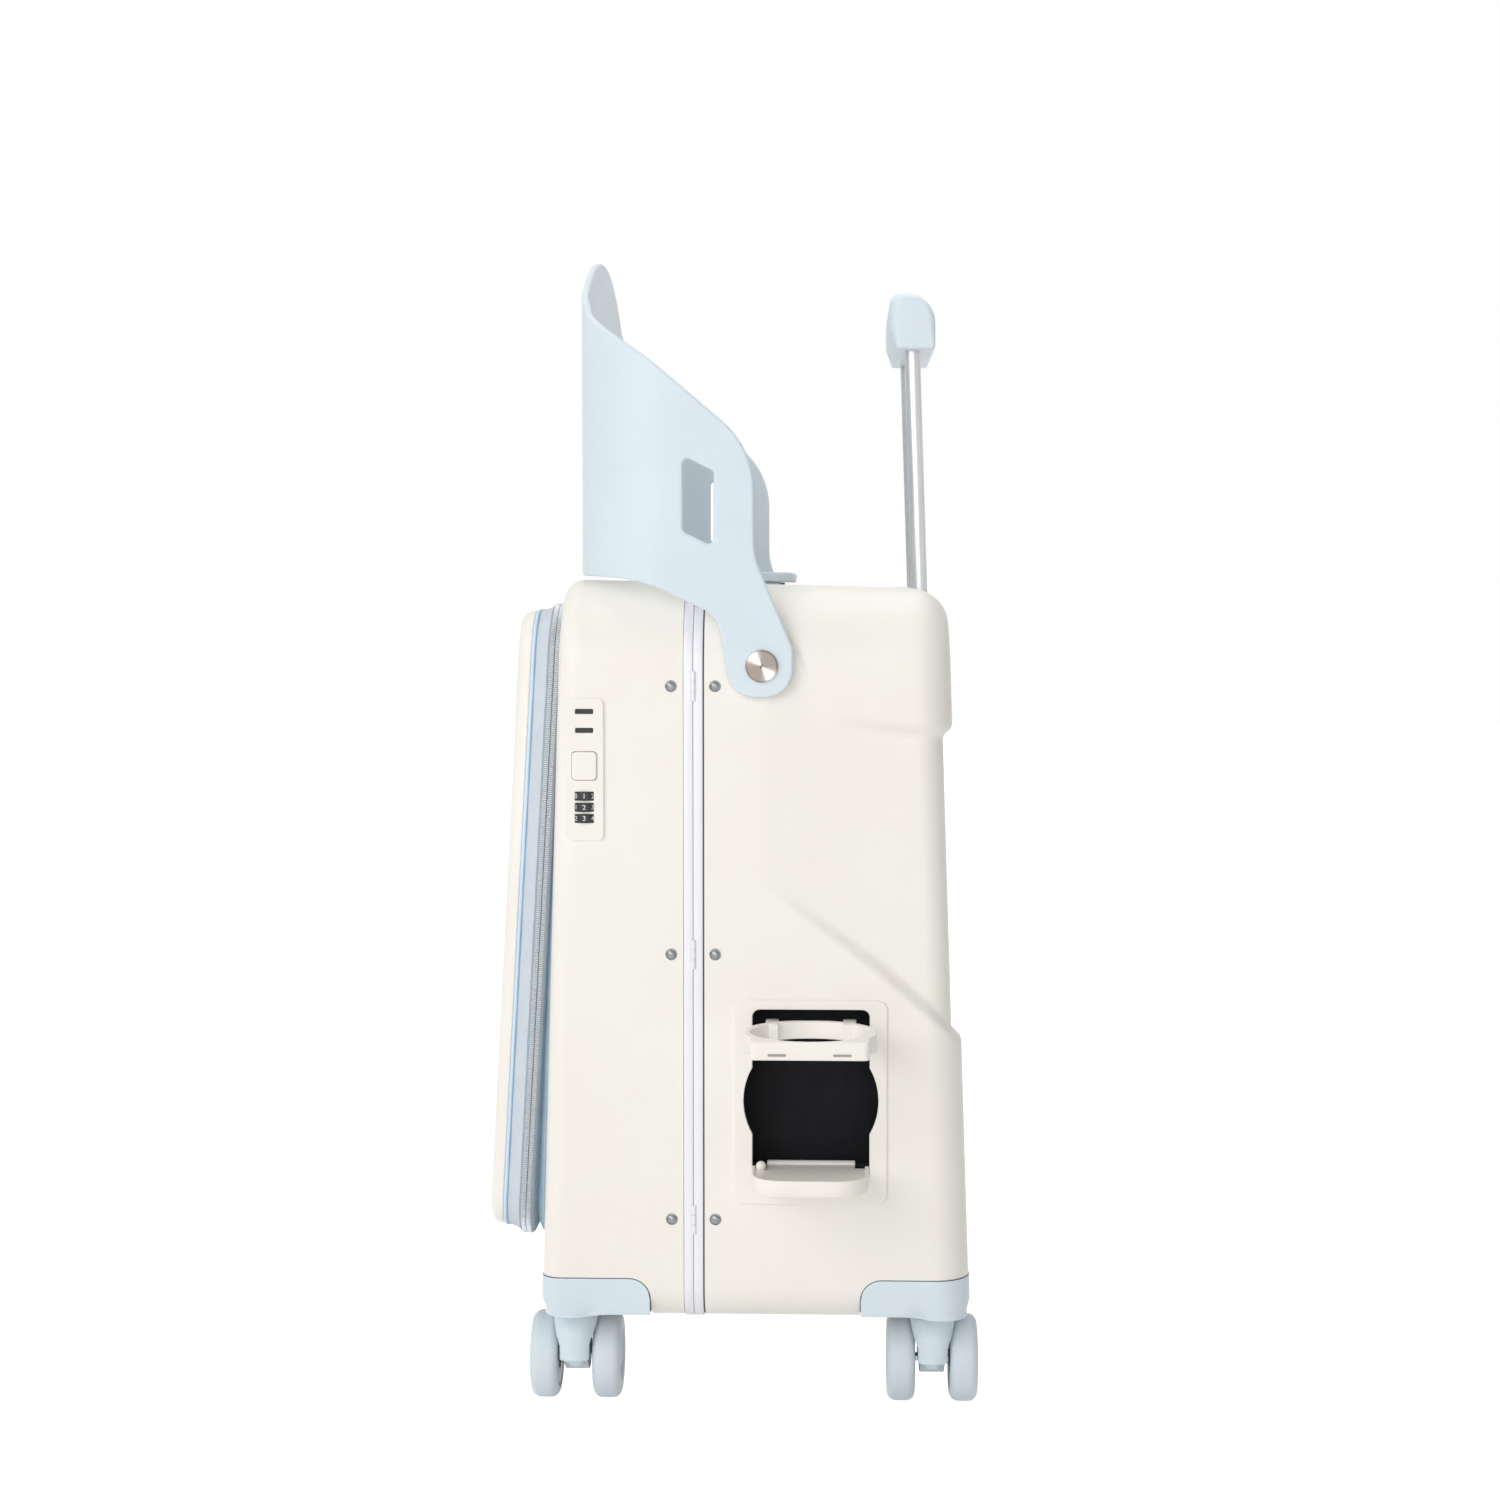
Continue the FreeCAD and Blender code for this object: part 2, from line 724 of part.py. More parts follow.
def guard_bolt(side):
    def y(distance):
        return V(pivot_x, side * distance, pivot_z)
    head = rod(bolt_head_r, y(bush_end()), y(bush_end() + bolt_head_rise))
    rim = [e for e in head.Edges if abs(abs(e.CenterOfMass.y) - bush_end() - bolt_head_rise) < 1e-6]
    head = head.makeFillet(bolt_head_rise * 0.5, rim)
    # The backing stands off the shell where the shell's upper edge already curves in
    bend_r = side_top_round - wall
    into_bend = max(0, pivot_z + backing_r - (cross_top_z - side_top_round))
    seat = half_w - wall - (bend_r - math.sqrt(bend_r ** 2 - into_bend ** 2))
    shank = rod(bolt_shank_r, y(seat - backing_thick), y(bush_end() + 1))
    backing = rod(backing_r, y(seat - backing_thick), y(seat))
    return joined([head, shank, backing])


# Cup holder
def cup_face():
    return -half_w - cup_plate_thick


def ring_axis_y():
    return cup_face() + ring_height / 2


def tray_axis_y():
    return cup_face() + ring_height + tray_layer + tray_thick / 2


def cup_pin(radius, reach, y, z):
    return rod(radius, V(cup_x - reach, y, z), V(cup_x + reach, y, z))


def cup_holder_plate():
    outline = rectangle(*cup_plate_x, *cup_plate_z)
    plate = prism(outline, cup_plate_round, "y", cup_face(), -half_w)
    return plate.cut(pan_outline(0, cup_face() - 1, -half_w + 1))


def cup_holder_pan():
    floor = -half_w + cup_pan_depth
    pan = pan_outline(cup_pan_wall, -half_w, floor + cup_pan_wall).cut(pan_outline(0, -half_w - 1, floor))
    reach = cup_pan_half + cup_pan_wall / 2
    for y, z in ((ring_axis_y(), ring_hinge_z), (tray_axis_y(), tray_hinge_z)):
        y = max(y, -half_w + ring_pin_r)
        pan = pan.fuse(cup_pin(ring_pin_r, reach, y, z))
    return pan.removeSplitter()


def cup_ring():
    y = ring_axis_y()
    centre = V(cup_x, y - ring_arm, ring_hinge_z)
    half = ring_height / 2
    outer_r = ring_bore_r + ring_wall
    band = rod(outer_r + 1.5, centre - V(0, 0, half), centre + V(0, 0, half))
    square = block(cup_x - outer_r, cup_x + outer_r, centre.y - outer_r, centre.y + outer_r, 0, FAR)
    front_half = cup_pan_half - fold_clearance * 2
    front = rectangle(cup_x - front_half, cup_x + front_half, centre.y - outer_r, centre.y)
    rounds = [ring_front_round, ring_front_round, 0, 0]
    front = prism(front, rounds, "z", ring_hinge_z - half, ring_hinge_z + half)
    pieces = [band.common(square), front]
    for side in (-1, 1):
        x = cup_x + side * ring_arm_offset
        low, high = x - ring_arm_width / 2, x + ring_arm_width / 2
        start = centre.y + outer_r * 0.6
        pieces.append(block(low, high, start, y, ring_hinge_z - half, ring_hinge_z + half))
        pieces.append(rod(half, V(low, y, ring_hinge_z), V(high, y, ring_hinge_z)))
    whole = joined(pieces)
    whole = whole.cut(rod(ring_bore_r, centre - V(0, 0, half * 2), centre + V(0, 0, half * 2)))
    return whole.cut(cup_pin(ring_pin_r + axle_clearance, FAR, y, ring_hinge_z))


def tray_front_y():
    # Folded up, the tray's tip ends just under the ring
    return tray_axis_y() - (ring_hinge_z - ring_height / 2 - fold_clearance * 3 - tray_hinge_z)


def tray_plan(inset, low, high):
    front = tray_front_y()
    half = tray_half - inset
    outline = rectangle(cup_x - half, cup_x + half, front + inset, front + tray_depth)
    corner = tray_front_round - inset
    return prism(outline, [corner, corner, 0, 0], "z", low, high)


def cup_tray():
    y = tray_axis_y()
    low, high = tray_hinge_z - tray_thick / 2, tray_hinge_z + tray_thick / 2
    base = tray_plan(0, low, high)
    arm = block(cup_x - tray_arm_half, cup_x + tray_arm_half, tray_front_y() + tray_depth - 1, y, low, high)
    barrel = cup_pin(tray_barrel_r, tray_arm_half, y, tray_hinge_z)
    lip_top = high + tray_lip_rise
    lip = tray_plan(0, tray_hinge_z, lip_top).cut(tray_plan(tray_lip_thick, tray_hinge_z - 1, lip_top + 1))
    lip = lip.common(block(-FAR, FAR, -FAR, tray_front_y() + tray_depth * tray_lip_run, 0, FAR))
    whole = joined([base, arm, barrel, lip])
    return whole.cut(cup_pin(ring_pin_r + axle_clearance, FAR, y, tray_hinge_z))


# Front pocket: x runs back from the front of the door to the zip's middle at 0, then leaned into place
def door_back_x():
    return front_x(door_top_z) - zip_half * 1.6


def pocket_frame(shape):
    moved = shape.copy()
    moved.translate(V(door_back_x(), 0, 0))
    moved.rotate(V(door_back_x(), 0, door_top_z), V(0, 1, 0), door_lean)
    return moved


def door_outline(grow):
    return rectangle(-door_half_width - grow, door_half_width + grow, door_low_z - grow, door_top_z + grow)


def door_prism(grow, low, high):
    return prism(door_outline(grow), door_corner + grow, "x", low, high)


def door_taper(grow, low, high):
    # Closes in by the door's inset from high to low
    wires = []
    for x, size in ((low, grow - door_inset), (high, grow)):
        wires.append(outline_wire(door_outline(size), [door_corner + size] * 4, "x", x))
    return Part.makeLoft(wires, True, True)


def door_front():
    return -zip_half - door_band - door_piping - door_shell_depth


def pocket_door():
    front = door_front()
    tray = door_prism(-door_inset, front, front + door_shell_depth)
    rim = [e for e in tray.Edges if abs(e.CenterOfMass.x - front) < 1e-6]
    tray = tray.makeFillet(door_edge_round, rim)
    hollow = door_prism(-door_inset - door_wall, front, front + door_shell_depth)
    rim = [e for e in hollow.Edges if abs(e.CenterOfMass.x - front) < 1e-6]
    hollow = hollow.makeFillet(door_edge_round - door_wall, rim)
    hollow.translate(V(door_wall, 0, 0))
    hollow = hollow.fuse(door_prism(-door_inset - door_wall, front + door_edge_round, 0))
    return pocket_frame(tray.cut(hollow))


def pocket_band():
    front = -zip_half - door_band - door_piping
    band = door_taper(0, front, -zip_half).cut(door_taper(-gusset_thick, front, -zip_half))
    return pocket_frame(band)


def zip_ring(low, high):
    return pocket_frame(door_prism(zip_proud, low, high).cut(door_prism(-zip_width, low, high)))


def pocket_gusset():
    deep = FAR / 20
    ring = door_prism(0, zip_half, deep).cut(door_prism(-gusset_thick, zip_half, deep))
    return pocket_frame(ring).cut(case_form(0)).common(beyond(front_top_x + 1, False))


def zip_slider(y):
    top = door_top_z + zip_proud
    half = slider_length / 2
    body = block(-zip_half * 2, 0, y - half, y + half, top + gap / 3, top + slider_height)
    pull = block(-zip_half * 1.5, -zip_half / 2, y + half - 1, y + half + slider_pull, top + 1,
                 top + slider_height - 0.4)
    return pocket_frame(joined([body, pull]))


# Combination lock
def lock_face():
    return -half_w - lock_proud


def lock_middle():
    return (lock_x[0] + lock_x[1]) / 2


def dial_axis_y():
    return lock_face() - dial_show + dial_r


def lock_button_block(grow, front, back):
    x, wide, tall = lock_middle(), lock_button_size[0] / 2 + grow, lock_button_size[1] / 2 + grow
    outline = rectangle(x - wide, x + wide, lock_button_z - tall, lock_button_z + tall)
    return prism(outline, lock_button_round, "y", front, back)


def lock_plate():
    face = lock_face()
    body = prism(lock_outline(0), lock_round, "y", face, -half_w + lock_depth)
    back = face - lock_button_rise + lock_button_depth + lock_button_travel + gap
    body = body.cut(lock_button_block(button_clearance, face - 1, back))
    x = lock_middle()
    for z in lock_slot_z:
        wide, tall = lock_slot_width / 2, lock_slot_height / 2
        body = body.cut(block(x - wide, x + wide, face - 1, face + lock_slot_depth, z - tall, z + tall))
    y = dial_axis_y()
    for z in dial_z:
        half = dial_height / 2 + dial_clearance
        body = body.cut(rod(dial_r + dial_clearance, V(x, y, z - half), V(x, y, z + half)))
    low, high = min(dial_z) - dial_height, max(dial_z) + dial_height
    axle = rod(dial_bore_r - axle_clearance, V(x, y, low), V(x, y, high))
    return body.fuse(axle).removeSplitter()


def lock_dial(z):
    x, y, half = lock_middle(), dial_axis_y(), dial_height / 2
    disc = rod(dial_r, V(x, y, z - half), V(x, y, z + half))
    disc = disc.makeFillet(0.5, [e for e in disc.Edges if e.Length > dial_r * 4])
    return disc.cut(rod(dial_bore_r, V(x, y, z - half), V(x, y, z + half)))


# Latches on the far side
def latch_y():
    return half_w + latch_base_thick + latch_pivot_r + latch_clearance


def latch_base(z):
    start = frame_band + gap
    plate = block(start, start + latch_base_reach, half_w, half_w + latch_base_thick, z - latch_half_height,
                  z + latch_half_height)
    pieces = [plate]
    ear = latch_half_height * 0.15
    for side in (-1, 1):
        edge = z + side * latch_half_height
        low, high = sorted((edge, edge - side * ear))
        pieces.append(rod(latch_pivot_r, V(latch_pivot_x, latch_y(), low), V(latch_pivot_x, latch_y(), high)))
        left, right = latch_pivot_x - latch_pivot_r, latch_pivot_x + latch_pivot_r
        pieces.append(block(left, right, half_w, latch_y(), low, high))
    pin = latch_pivot_r * 0.5
    pieces.append(rod(pin, V(latch_pivot_x, latch_y(), z - latch_half_height + 1),
                      V(latch_pivot_x, latch_y(), z + latch_half_height - 1)))
    return joined(pieces)


def latch_lever(z):
    half = latch_half_height * 0.85 - latch_clearance
    y = latch_y()
    under = half_w + latch_base_thick + latch_clearance
    tip = -keeper_reach - latch_lever_lip
    plate = prism(rectangle(tip, latch_pivot_x, z - half, z + half), [5, 0, 0, 5], "y", under,
                  under + latch_lever_thick)
    barrel = rod(latch_pivot_r, V(latch_pivot_x, y, z - half), V(latch_pivot_x, y, z + half))
    bore_r = latch_pivot_r * 0.5 + axle_clearance
    bore = rod(bore_r, V(latch_pivot_x, y, z - half), V(latch_pivot_x, y, z + half))
    return joined([plate, barrel]).cut(bore)


def latch_keeper(z):
    start = frame_band + gap
    half = latch_half_height * 0.6
    return block(-start - keeper_reach, -start, half_w, half_w + latch_base_thick - gap, z - half, z + half)


# Casters
def caster_axle_point(spot):
    return V(spot.x, spot.y + caster_trail, axle_z)


def caster_fork(front, side):
    spot = caster_place(front, side)
    top = boss_low_z - fork_top_gap
    cone = Part.makeCone(fork_low_r, fork_top_r, top - fork_low_z, spot + V(0, 0, fork_low_z))
    axle = caster_axle_point(spot)
    web = [(spot.y - fork_low_r * 0.8, top), (spot.y - fork_low_r * 0.6, fork_low_z),
           (axle.y - 2, axle_z - 11), (axle.y + 10, axle_z - 11), (axle.y + 10, axle_z + 9),
           (spot.y + boss_r * 0.8, top)]
    plate = prism(web, [0, 3, 5, 8, 8, 0], "x", spot.x - fork_web / 2, spot.x + fork_web / 2)
    body = cone.fuse(plate)
    inner = wheel_inner_gap / 2 - gap
    for sign in (-1, 1):
        space = rod(wheel_r + wheel_clearance, axle + V(sign * inner, 0, 0), axle + V(sign * FAR, 0, 0))
        body = body.cut(space)
    stem = rod(stem_r, spot + V(0, 0, top - 2), spot + V(0, 0, stem_top_z + gap + 1))
    head = rod(stem_r * 1.6, spot + V(0, 0, stem_top_z + gap), spot + V(0, 0, stem_top_z + gap + 3))
    body = joined([body, stem, head])
    return body.cut(rod(axle_r, axle - V(fork_web, 0, 0), axle + V(fork_web, 0, 0)))


def caster_axle(front, side):
    axle = caster_axle_point(caster_place(front, side))
    reach = V(wheel_inner_gap / 2 + wheel_width * 0.7, 0, 0)
    return rod(axle_r, axle - reach, axle + reach)


def caster_wheel(front, side, sign):
    axle = caster_axle_point(caster_place(front, side))
    inner = axle + V(sign * wheel_inner_gap / 2, 0, 0)
    outer = inner + V(sign * wheel_width, 0, 0)
    wheel = rod(wheel_r, inner, outer)
    rims = [e for e in wheel.Edges if e.Length > wheel_r * 6]
    wheel = wheel.makeFillet(wheel_shoulder, rims)
    wheel = wheel.cut(rod(wheel_r * 0.58, outer - V(sign * wheel_dish, 0, 0), outer + V(sign, 0, 0)))
    return wheel.cut(rod(axle_r + axle_clearance, inner, inner + V(sign * wheel_width * 0.75, 0, 0)))


def group(shapes):
    return Part.makeCompound(shapes)


parts = {}
parts["rear_shell"] = rear_shell()
parts["front_shell"] = front_shell()
parts["rear_frame"] = frame_half(True)
parts["front_frame"] = frame_half(False)
parts["case_hinge_leaves_rear"] = group([hinge_leaf(z, True) for z in rivet_heights])
parts["case_hinge_leaves_front"] = group([hinge_leaf(z, False) for z in rivet_heights])
parts["case_hinge_pins"] = group([rod(hinge_pin_r, V(0, hinge_y, z - hinge_length / 2),
                                      V(0, hinge_y, z + hinge_length / 2)) for z in rivet_heights])
parts["rear_rivets"] = group([rivet(z, True) for z in rivet_heights])
parts["front_rivets"] = group([rivet(z, False) for z in rivet_heights])
parts["handle_tubes"] = group([handle_tube(side) for side, name in MIRROR])
parts["handle_tube_glides"] = group([handle_glide(side) for side, name in MIRROR])
parts["handle_sleeves"] = group([handle_sleeve(side) for side, name in MIRROR])
parts["handle_bezel"] = handle_bezel()
parts["handle_foot"] = handle_foot()
parts["handle_grip"] = handle_grip()
parts["release_button"] = release_button_space(0, 0)
parts["carry_handle"] = carry_handle()
parts["carry_handle_lugs"] = group([carry_lug(side) for side, name in MIRROR])
parts["guard"] = guard()
parts["guard_pivot_bushes"] = group([guard_bush(side) for side, name in MIRROR])
parts["guard_pivot_bolts"] = group([guard_bolt(side) for side, name in MIRROR])
parts["cup_holder_plate"] = cup_holder_plate()
parts["cup_holder_pan"] = cup_holder_pan()
parts["cup_ring"] = cup_ring()
parts["cup_tray"] = cup_tray()
parts["pocket_door"] = pocket_door()
parts["pocket_band"] = pocket_band()
parts["zip_door_side"] = zip_ring(-zip_half, 0)
parts["zip_case_side"] = zip_ring(0, zip_half)
parts["zip_sliders"] = group([zip_slider(y) for y in slider_y])
parts["pocket_gusset"] = pocket_gusset()
parts["lock_plate"] = lock_plate()
parts["lock_button"] = lock_button_block(0, lock_face() - lock_button_rise,
                                         lock_face() - lock_button_rise + lock_button_depth)
for number, height in enumerate(dial_z, 1):
    parts["lock_dial_%d" % number] = lock_dial(height)
parts["latch_bases"] = group([latch_base(z) for z in latch_heights])
parts["latch_keepers"] = group([latch_keeper(z) for z in latch_heights])
for name, height in zip(("lower", "upper"), latch_heights):
    parts["latch_lever_" + name] = latch_lever(height)
for end, front in (("front", True), ("rear", False)):
    for side, name in MIRROR:
        corner = end + "_" + name
        parts[corner + "_corner_guard"] = corner_guard(front, side)
        parts[corner + "_fork"] = caster_fork(front, side)
        parts[corner + "_axle"] = caster_axle(front, side)
        parts[corner + "_wheel_a"] = caster_wheel(front, side, -1)
        parts[corner + "_wheel_b"] = caster_wheel(front, side, 1)

# The object stands on z = 0 with the middle of its box over the origin
bounds = group(list(parts.values())).optimalBoundingBox(False, False)
shift = V(-(bounds.XMin + bounds.XMax) / 2, -(bounds.YMin + bounds.YMax) / 2, -bounds.ZMin)
os.makedirs("parts", exist_ok=True)
for name, shape in parts.items():
    shape.translate(shift)
    shape.exportStep("parts/" + name + ".step")
    if not shape.isValid() or not shape.Solids:
        print("not sound:", name)
print("parts", len(parts), "shift", shift)
print("size", bounds.XLength, bounds.YLength, bounds.ZLength)
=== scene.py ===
import math

import bmesh
import bpy
import numpy as np
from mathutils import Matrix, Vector
from mathutils.geometry import tessellate_polygon


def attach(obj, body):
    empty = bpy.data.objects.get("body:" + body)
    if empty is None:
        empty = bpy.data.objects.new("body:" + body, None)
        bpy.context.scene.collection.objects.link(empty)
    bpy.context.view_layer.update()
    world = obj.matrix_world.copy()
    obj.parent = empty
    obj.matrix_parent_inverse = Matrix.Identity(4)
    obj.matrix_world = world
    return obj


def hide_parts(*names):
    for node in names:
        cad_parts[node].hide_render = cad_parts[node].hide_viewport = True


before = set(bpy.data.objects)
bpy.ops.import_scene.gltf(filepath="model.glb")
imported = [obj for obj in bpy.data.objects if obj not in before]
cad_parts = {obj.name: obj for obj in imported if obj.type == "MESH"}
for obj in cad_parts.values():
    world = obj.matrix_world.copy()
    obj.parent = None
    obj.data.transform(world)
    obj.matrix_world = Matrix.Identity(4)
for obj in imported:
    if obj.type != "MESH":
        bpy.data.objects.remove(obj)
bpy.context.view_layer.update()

# Lengths below are in millimetres from the frame's seam (x), the case's middle (y) and a level just above
# the floor (z), which the wheels reach below; row() takes them to metres in the shared frame
seamShift = np.array((-26.0698, 39.05, 3.0))

# Sizes that more than one function uses
case = {"half": 185.0, "floor": 66.0, "top": 571.0, "frontFoot": -105.0, "frontTop": -90.0,
        "rearFoot": 188.5, "rearTop": 171.5, "seatRear": 564.0, "sideFoot": 25.0, "sideTop": 61.0,
        "frontEdge": 14.0, "rearEdge": 24.0, "frontTopRound": 12.0, "rearTopRound": 27.0,
        "footRound": 22.0, "wall": 2.6, "rearSeam": 7.5, "frontSeam": -6.8, "seatFrom": 480.0,
        "seatSoft": 0.9, "wallMiddle": 318.0, "edgeArc": 38.0}
corner = {"top": 95.5, "reachX": 75.0, "reachY": 77.0, "proud": 0.5, "under": 70.5, "round": 14.0,
          "sideFoot": 8.0, "endFoot": 14.0, "waist": 86.0, "rimZ": 67.6, "rimR": 19.0, "rimIn": 20.6,
          "rimFrom": 12.0, "rimSoft": 14.0, "bossZ": 60.6, "seam": 0.6, "tuck": 1.8, "clear": 0.3,
          "lap": 1.5, "deepX": (51.0, 51.5), "deepY": 65.0, "deepZ": 92.0}
pan = {"x": 79.5, "half": 39.5, "low": 164.0, "high": 281.0, "bulge": 45.5, "bulgeZ": 219.0, "corner": 5.0}
carry = {"x": 46.0, "half": (19.0, 95.0), "corner": 15.2, "low": 1.8, "high": 8.5, "rim": 1.6, "legY": 84.0,
         "leg": (6.0, 3.5), "legRound": 1.2, "legLow": -25.4, "legHigh": 5.0, "lug": (10.0, 7.5),
         "lugHigh": 1.5, "play": 0.4}
handle = {"x": 155.0, "lean": (case["rearFoot"] - case["rearTop"]) / (case["seatRear"] - case["floor"]),
          "halfGap": 65.0, "radius": 5.5, "wall": 1.0, "top": 738.0, "length": 470.0}
bolt = {"x": 46.3, "z": 512.6, "start": 192.8, "rise": 2.6, "radius": 10.8, "rim": 1.2}
lock = {"x": -73.0, "middle": 443.0, "half": (13.0, 48.0), "face": -187.4, "back": -184.0,
        "slits": (482.0, 469.3), "button": (8.4, 9.5), "buttonZ": 445.4, "play": 0.25,
        "dials": (425.0, 417.5, 410.0), "dialY": -179.9, "dialR": 9.5, "dialHalf": 2.8, "round": 4.0,
        "slit": (6.1, 1.7), "window": (6.4, 2.9), "buttonRound": 3.0, "buttonY": (-188.8, -183.8)}


def row(points):
    return (np.asarray(points, float) + seamShift) * 0.001


def frontX(z):
    span = case["top"] - case["floor"]
    return case["frontFoot"] + (case["frontTop"] - case["frontFoot"]) * (z - case["floor"]) / span


def rearX(z):
    span = case["seatRear"] - case["floor"]
    return case["rearFoot"] + (case["rearTop"] - case["rearFoot"]) * (z - case["floor"]) / span


def seatZ(x):
    span = case["rearTop"] - case["frontTop"]
    return case["top"] + (case["seatRear"] - case["top"]) * (x - case["frontTop"]) / span


def smooth(t):
    t = np.clip(t, 0.0, 1.0)
    return t * t * (3 - 2 * t)


def softMin(a, b, k):
    return -k * np.logaddexp(-a / k, -b / k)


# Materials

def linear(code):
    values = [int(code[i:i + 2], 16) / 255 for i in (1, 3, 5)]
    return tuple(v / 12.92 if v <= 0.04045 else ((v + 0.055) / 1.055) ** 2.4 for v in values) + (1.0,)


def add(tree, kind, inputs=None, **settings):
    node = tree.nodes.new(kind)
    for key, value in settings.items():
        setattr(node, key, value)
    for key, value in (inputs or {}).items():
        if isinstance(value, bpy.types.NodeSocket):
            tree.links.new(value, node.inputs[key])
        else:
            node.inputs[key].default_value = value
    return node


def principled(name, **constants):
    made = bpy.data.materials.new(name)
    made.use_nodes = True
    shader = made.node_tree.nodes["Principled BSDF"]
    for key, value in constants.items():
        shader.inputs[key.replace("_", " ")].default_value = value
    return made, made.node_tree, shader


def ramp(tree, factor, stops):
    node = add(tree, "ShaderNodeValToRGB", {"Fac": factor})
    for i, (place, colour) in enumerate(stops):
        element = node.color_ramp.elements[i] if i < 2 else node.color_ramp.elements.new(place)
        element.position = place
        element.color = linear(colour)
    return node.outputs["Color"]


def spread(tree, factor, low, high):
    return add(tree, "ShaderNodeMapRange", {"Value": factor, "From Min": 0.3, "From Max": 0.7,
                                            "To Min": low, "To Max": high}).outputs["Result"]


def noise(tree, where, scale, detail):
    return add(tree, "ShaderNodeTexNoise", {"Vector": where, "Scale": scale, "Detail": detail}).outputs["Fac"]


def calc(tree, operation, *values):
    return add(tree, "ShaderNodeMath", dict(enumerate(values)), operation=operation).outputs["Value"]


def between(tree, operation, *values):
    node = add(tree, "ShaderNodeVectorMath", dict(enumerate(values)), operation=operation)
    return node.outputs["Value" if operation in ("LENGTH", "DOT_PRODUCT") else "Vector"]


# Wires a shader's colour and roughness, and a fine relief of the given strength and depth in metres
def wire(tree, shader, colour, rough, height, strength, depth):
    bump = add(tree, "ShaderNodeBump", {"Height": height, "Strength": strength, "Distance": depth})
    for key, socket in (("Base Color", colour), ("Roughness", rough), ("Normal", bump.outputs["Normal"])):
        tree.links.new(socket, shader.inputs[key])


# Moulded plastic: broad, faint drift of colour and gloss, with a fine spark-eroded grain
def plastic(name, colour, shade, rough, grainScale=1500.0, grain=0.06, gloss=0.5):
    made, tree, shader = principled(name, Specular_IOR_Level=gloss, IOR=1.5)
    where = add(tree, "ShaderNodeTexCoord").outputs["Object"]
    tone = ramp(tree, noise(tree, where, 11.0, 4.0), ((0.3, colour), (0.75, shade)))
    haze = spread(tree, noise(tree, where, 140.0, 3.0), rough - 0.04, rough + 0.05)
    wire(tree, shader, tone, haze, noise(tree, where, grainScale, 2.0), grain, 0.0002)
    return made


# Metal: fine lines along one direction, made from noise stretched that way
def metal(name, colour, shade, rough, stretch, lines=0.05, metallic=1.0):
    made, tree, shader = principled(name, Metallic=metallic)
    where = add(tree, "ShaderNodeTexCoord").outputs["Object"]
    drawn = add(tree, "ShaderNodeMapping", {"Vector": where, "Scale": stretch}).outputs["Vector"]
    streak = noise(tree, drawn, 1.0, 5.0)
    tone = ramp(tree, streak, ((0.3, shade), (0.7, colour)))
    wire(tree, shader, tone, spread(tree, streak, rough * 0.7, rough * 1.35), streak, lines, 0.0001)
    return made


# Turned metal: fine rings round the pivot's axis, and two bright fans painted into the colour along one fixed
# direction, a painted highlight standing in for the sheen a turned face shows under light
def turnedMetal(name, stops, rough, axis, paintedSheenWay):
    made, tree, shader = principled(name, Metallic=0.6)
    where = add(tree, "ShaderNodeTexCoord").outputs["Object"]
    flat = between(tree, "MULTIPLY", between(tree, "SUBTRACT", where, axis), (1.0, 0.0, 1.0))
    radius = between(tree, "LENGTH", flat)
    rings = add(tree, "ShaderNodeTexNoise", {"W": radius, "Scale": 2600.0, "Detail": 3.0},
                noise_dimensions="1D").outputs["Fac"]
    # Painted highlight: the colour lightens in two fans about a fixed direction across the face, whatever the
    # lamps do
    share = calc(tree, "DIVIDE", between(tree, "DOT_PRODUCT", flat, paintedSheenWay), radius)
    paintedSheen = calc(tree, "POWER", calc(tree, "MULTIPLY", share, share), 5.0)
    tone = ramp(tree, calc(tree, "MULTIPLY_ADD", rings, 0.25, paintedSheen), stops)
    wire(tree, shader, tone, spread(tree, rings, rough * 0.8, rough * 1.3), rings, 0.08, 0.0001)
    return made


# Cloth: a plain weave of two crossed sets of threads on UVs laid out in metres
def cloth(name, colour, shade, pitch, rough=0.85, depth=0.5):
    made, tree, shader = principled(name, Sheen_Weight=0.25, Sheen_Roughness=0.5)
    where = add(tree, "ShaderNodeUVMap").outputs["UV"]
    threads = {"Vector": where, "Scale": math.pi / (10.0 * pitch), "Distortion": 0.4}
    sets = [add(tree, "ShaderNodeTexWave", threads, bands_direction=way).outputs["Fac"] for way in "XY"]
    weave = calc(tree, "MULTIPLY", *sets)
    slub = noise(tree, where, 60.0, 4.0)
    half = calc(tree, "MULTIPLY", calc(tree, "ADD", weave, slub), 0.5)
    tone = ramp(tree, half, ((0.15, shade), (0.6, colour)))
    wire(tree, shader, tone, spread(tree, slub, rough - 0.06, rough + 0.06), weave, depth, 0.0003)
    return made


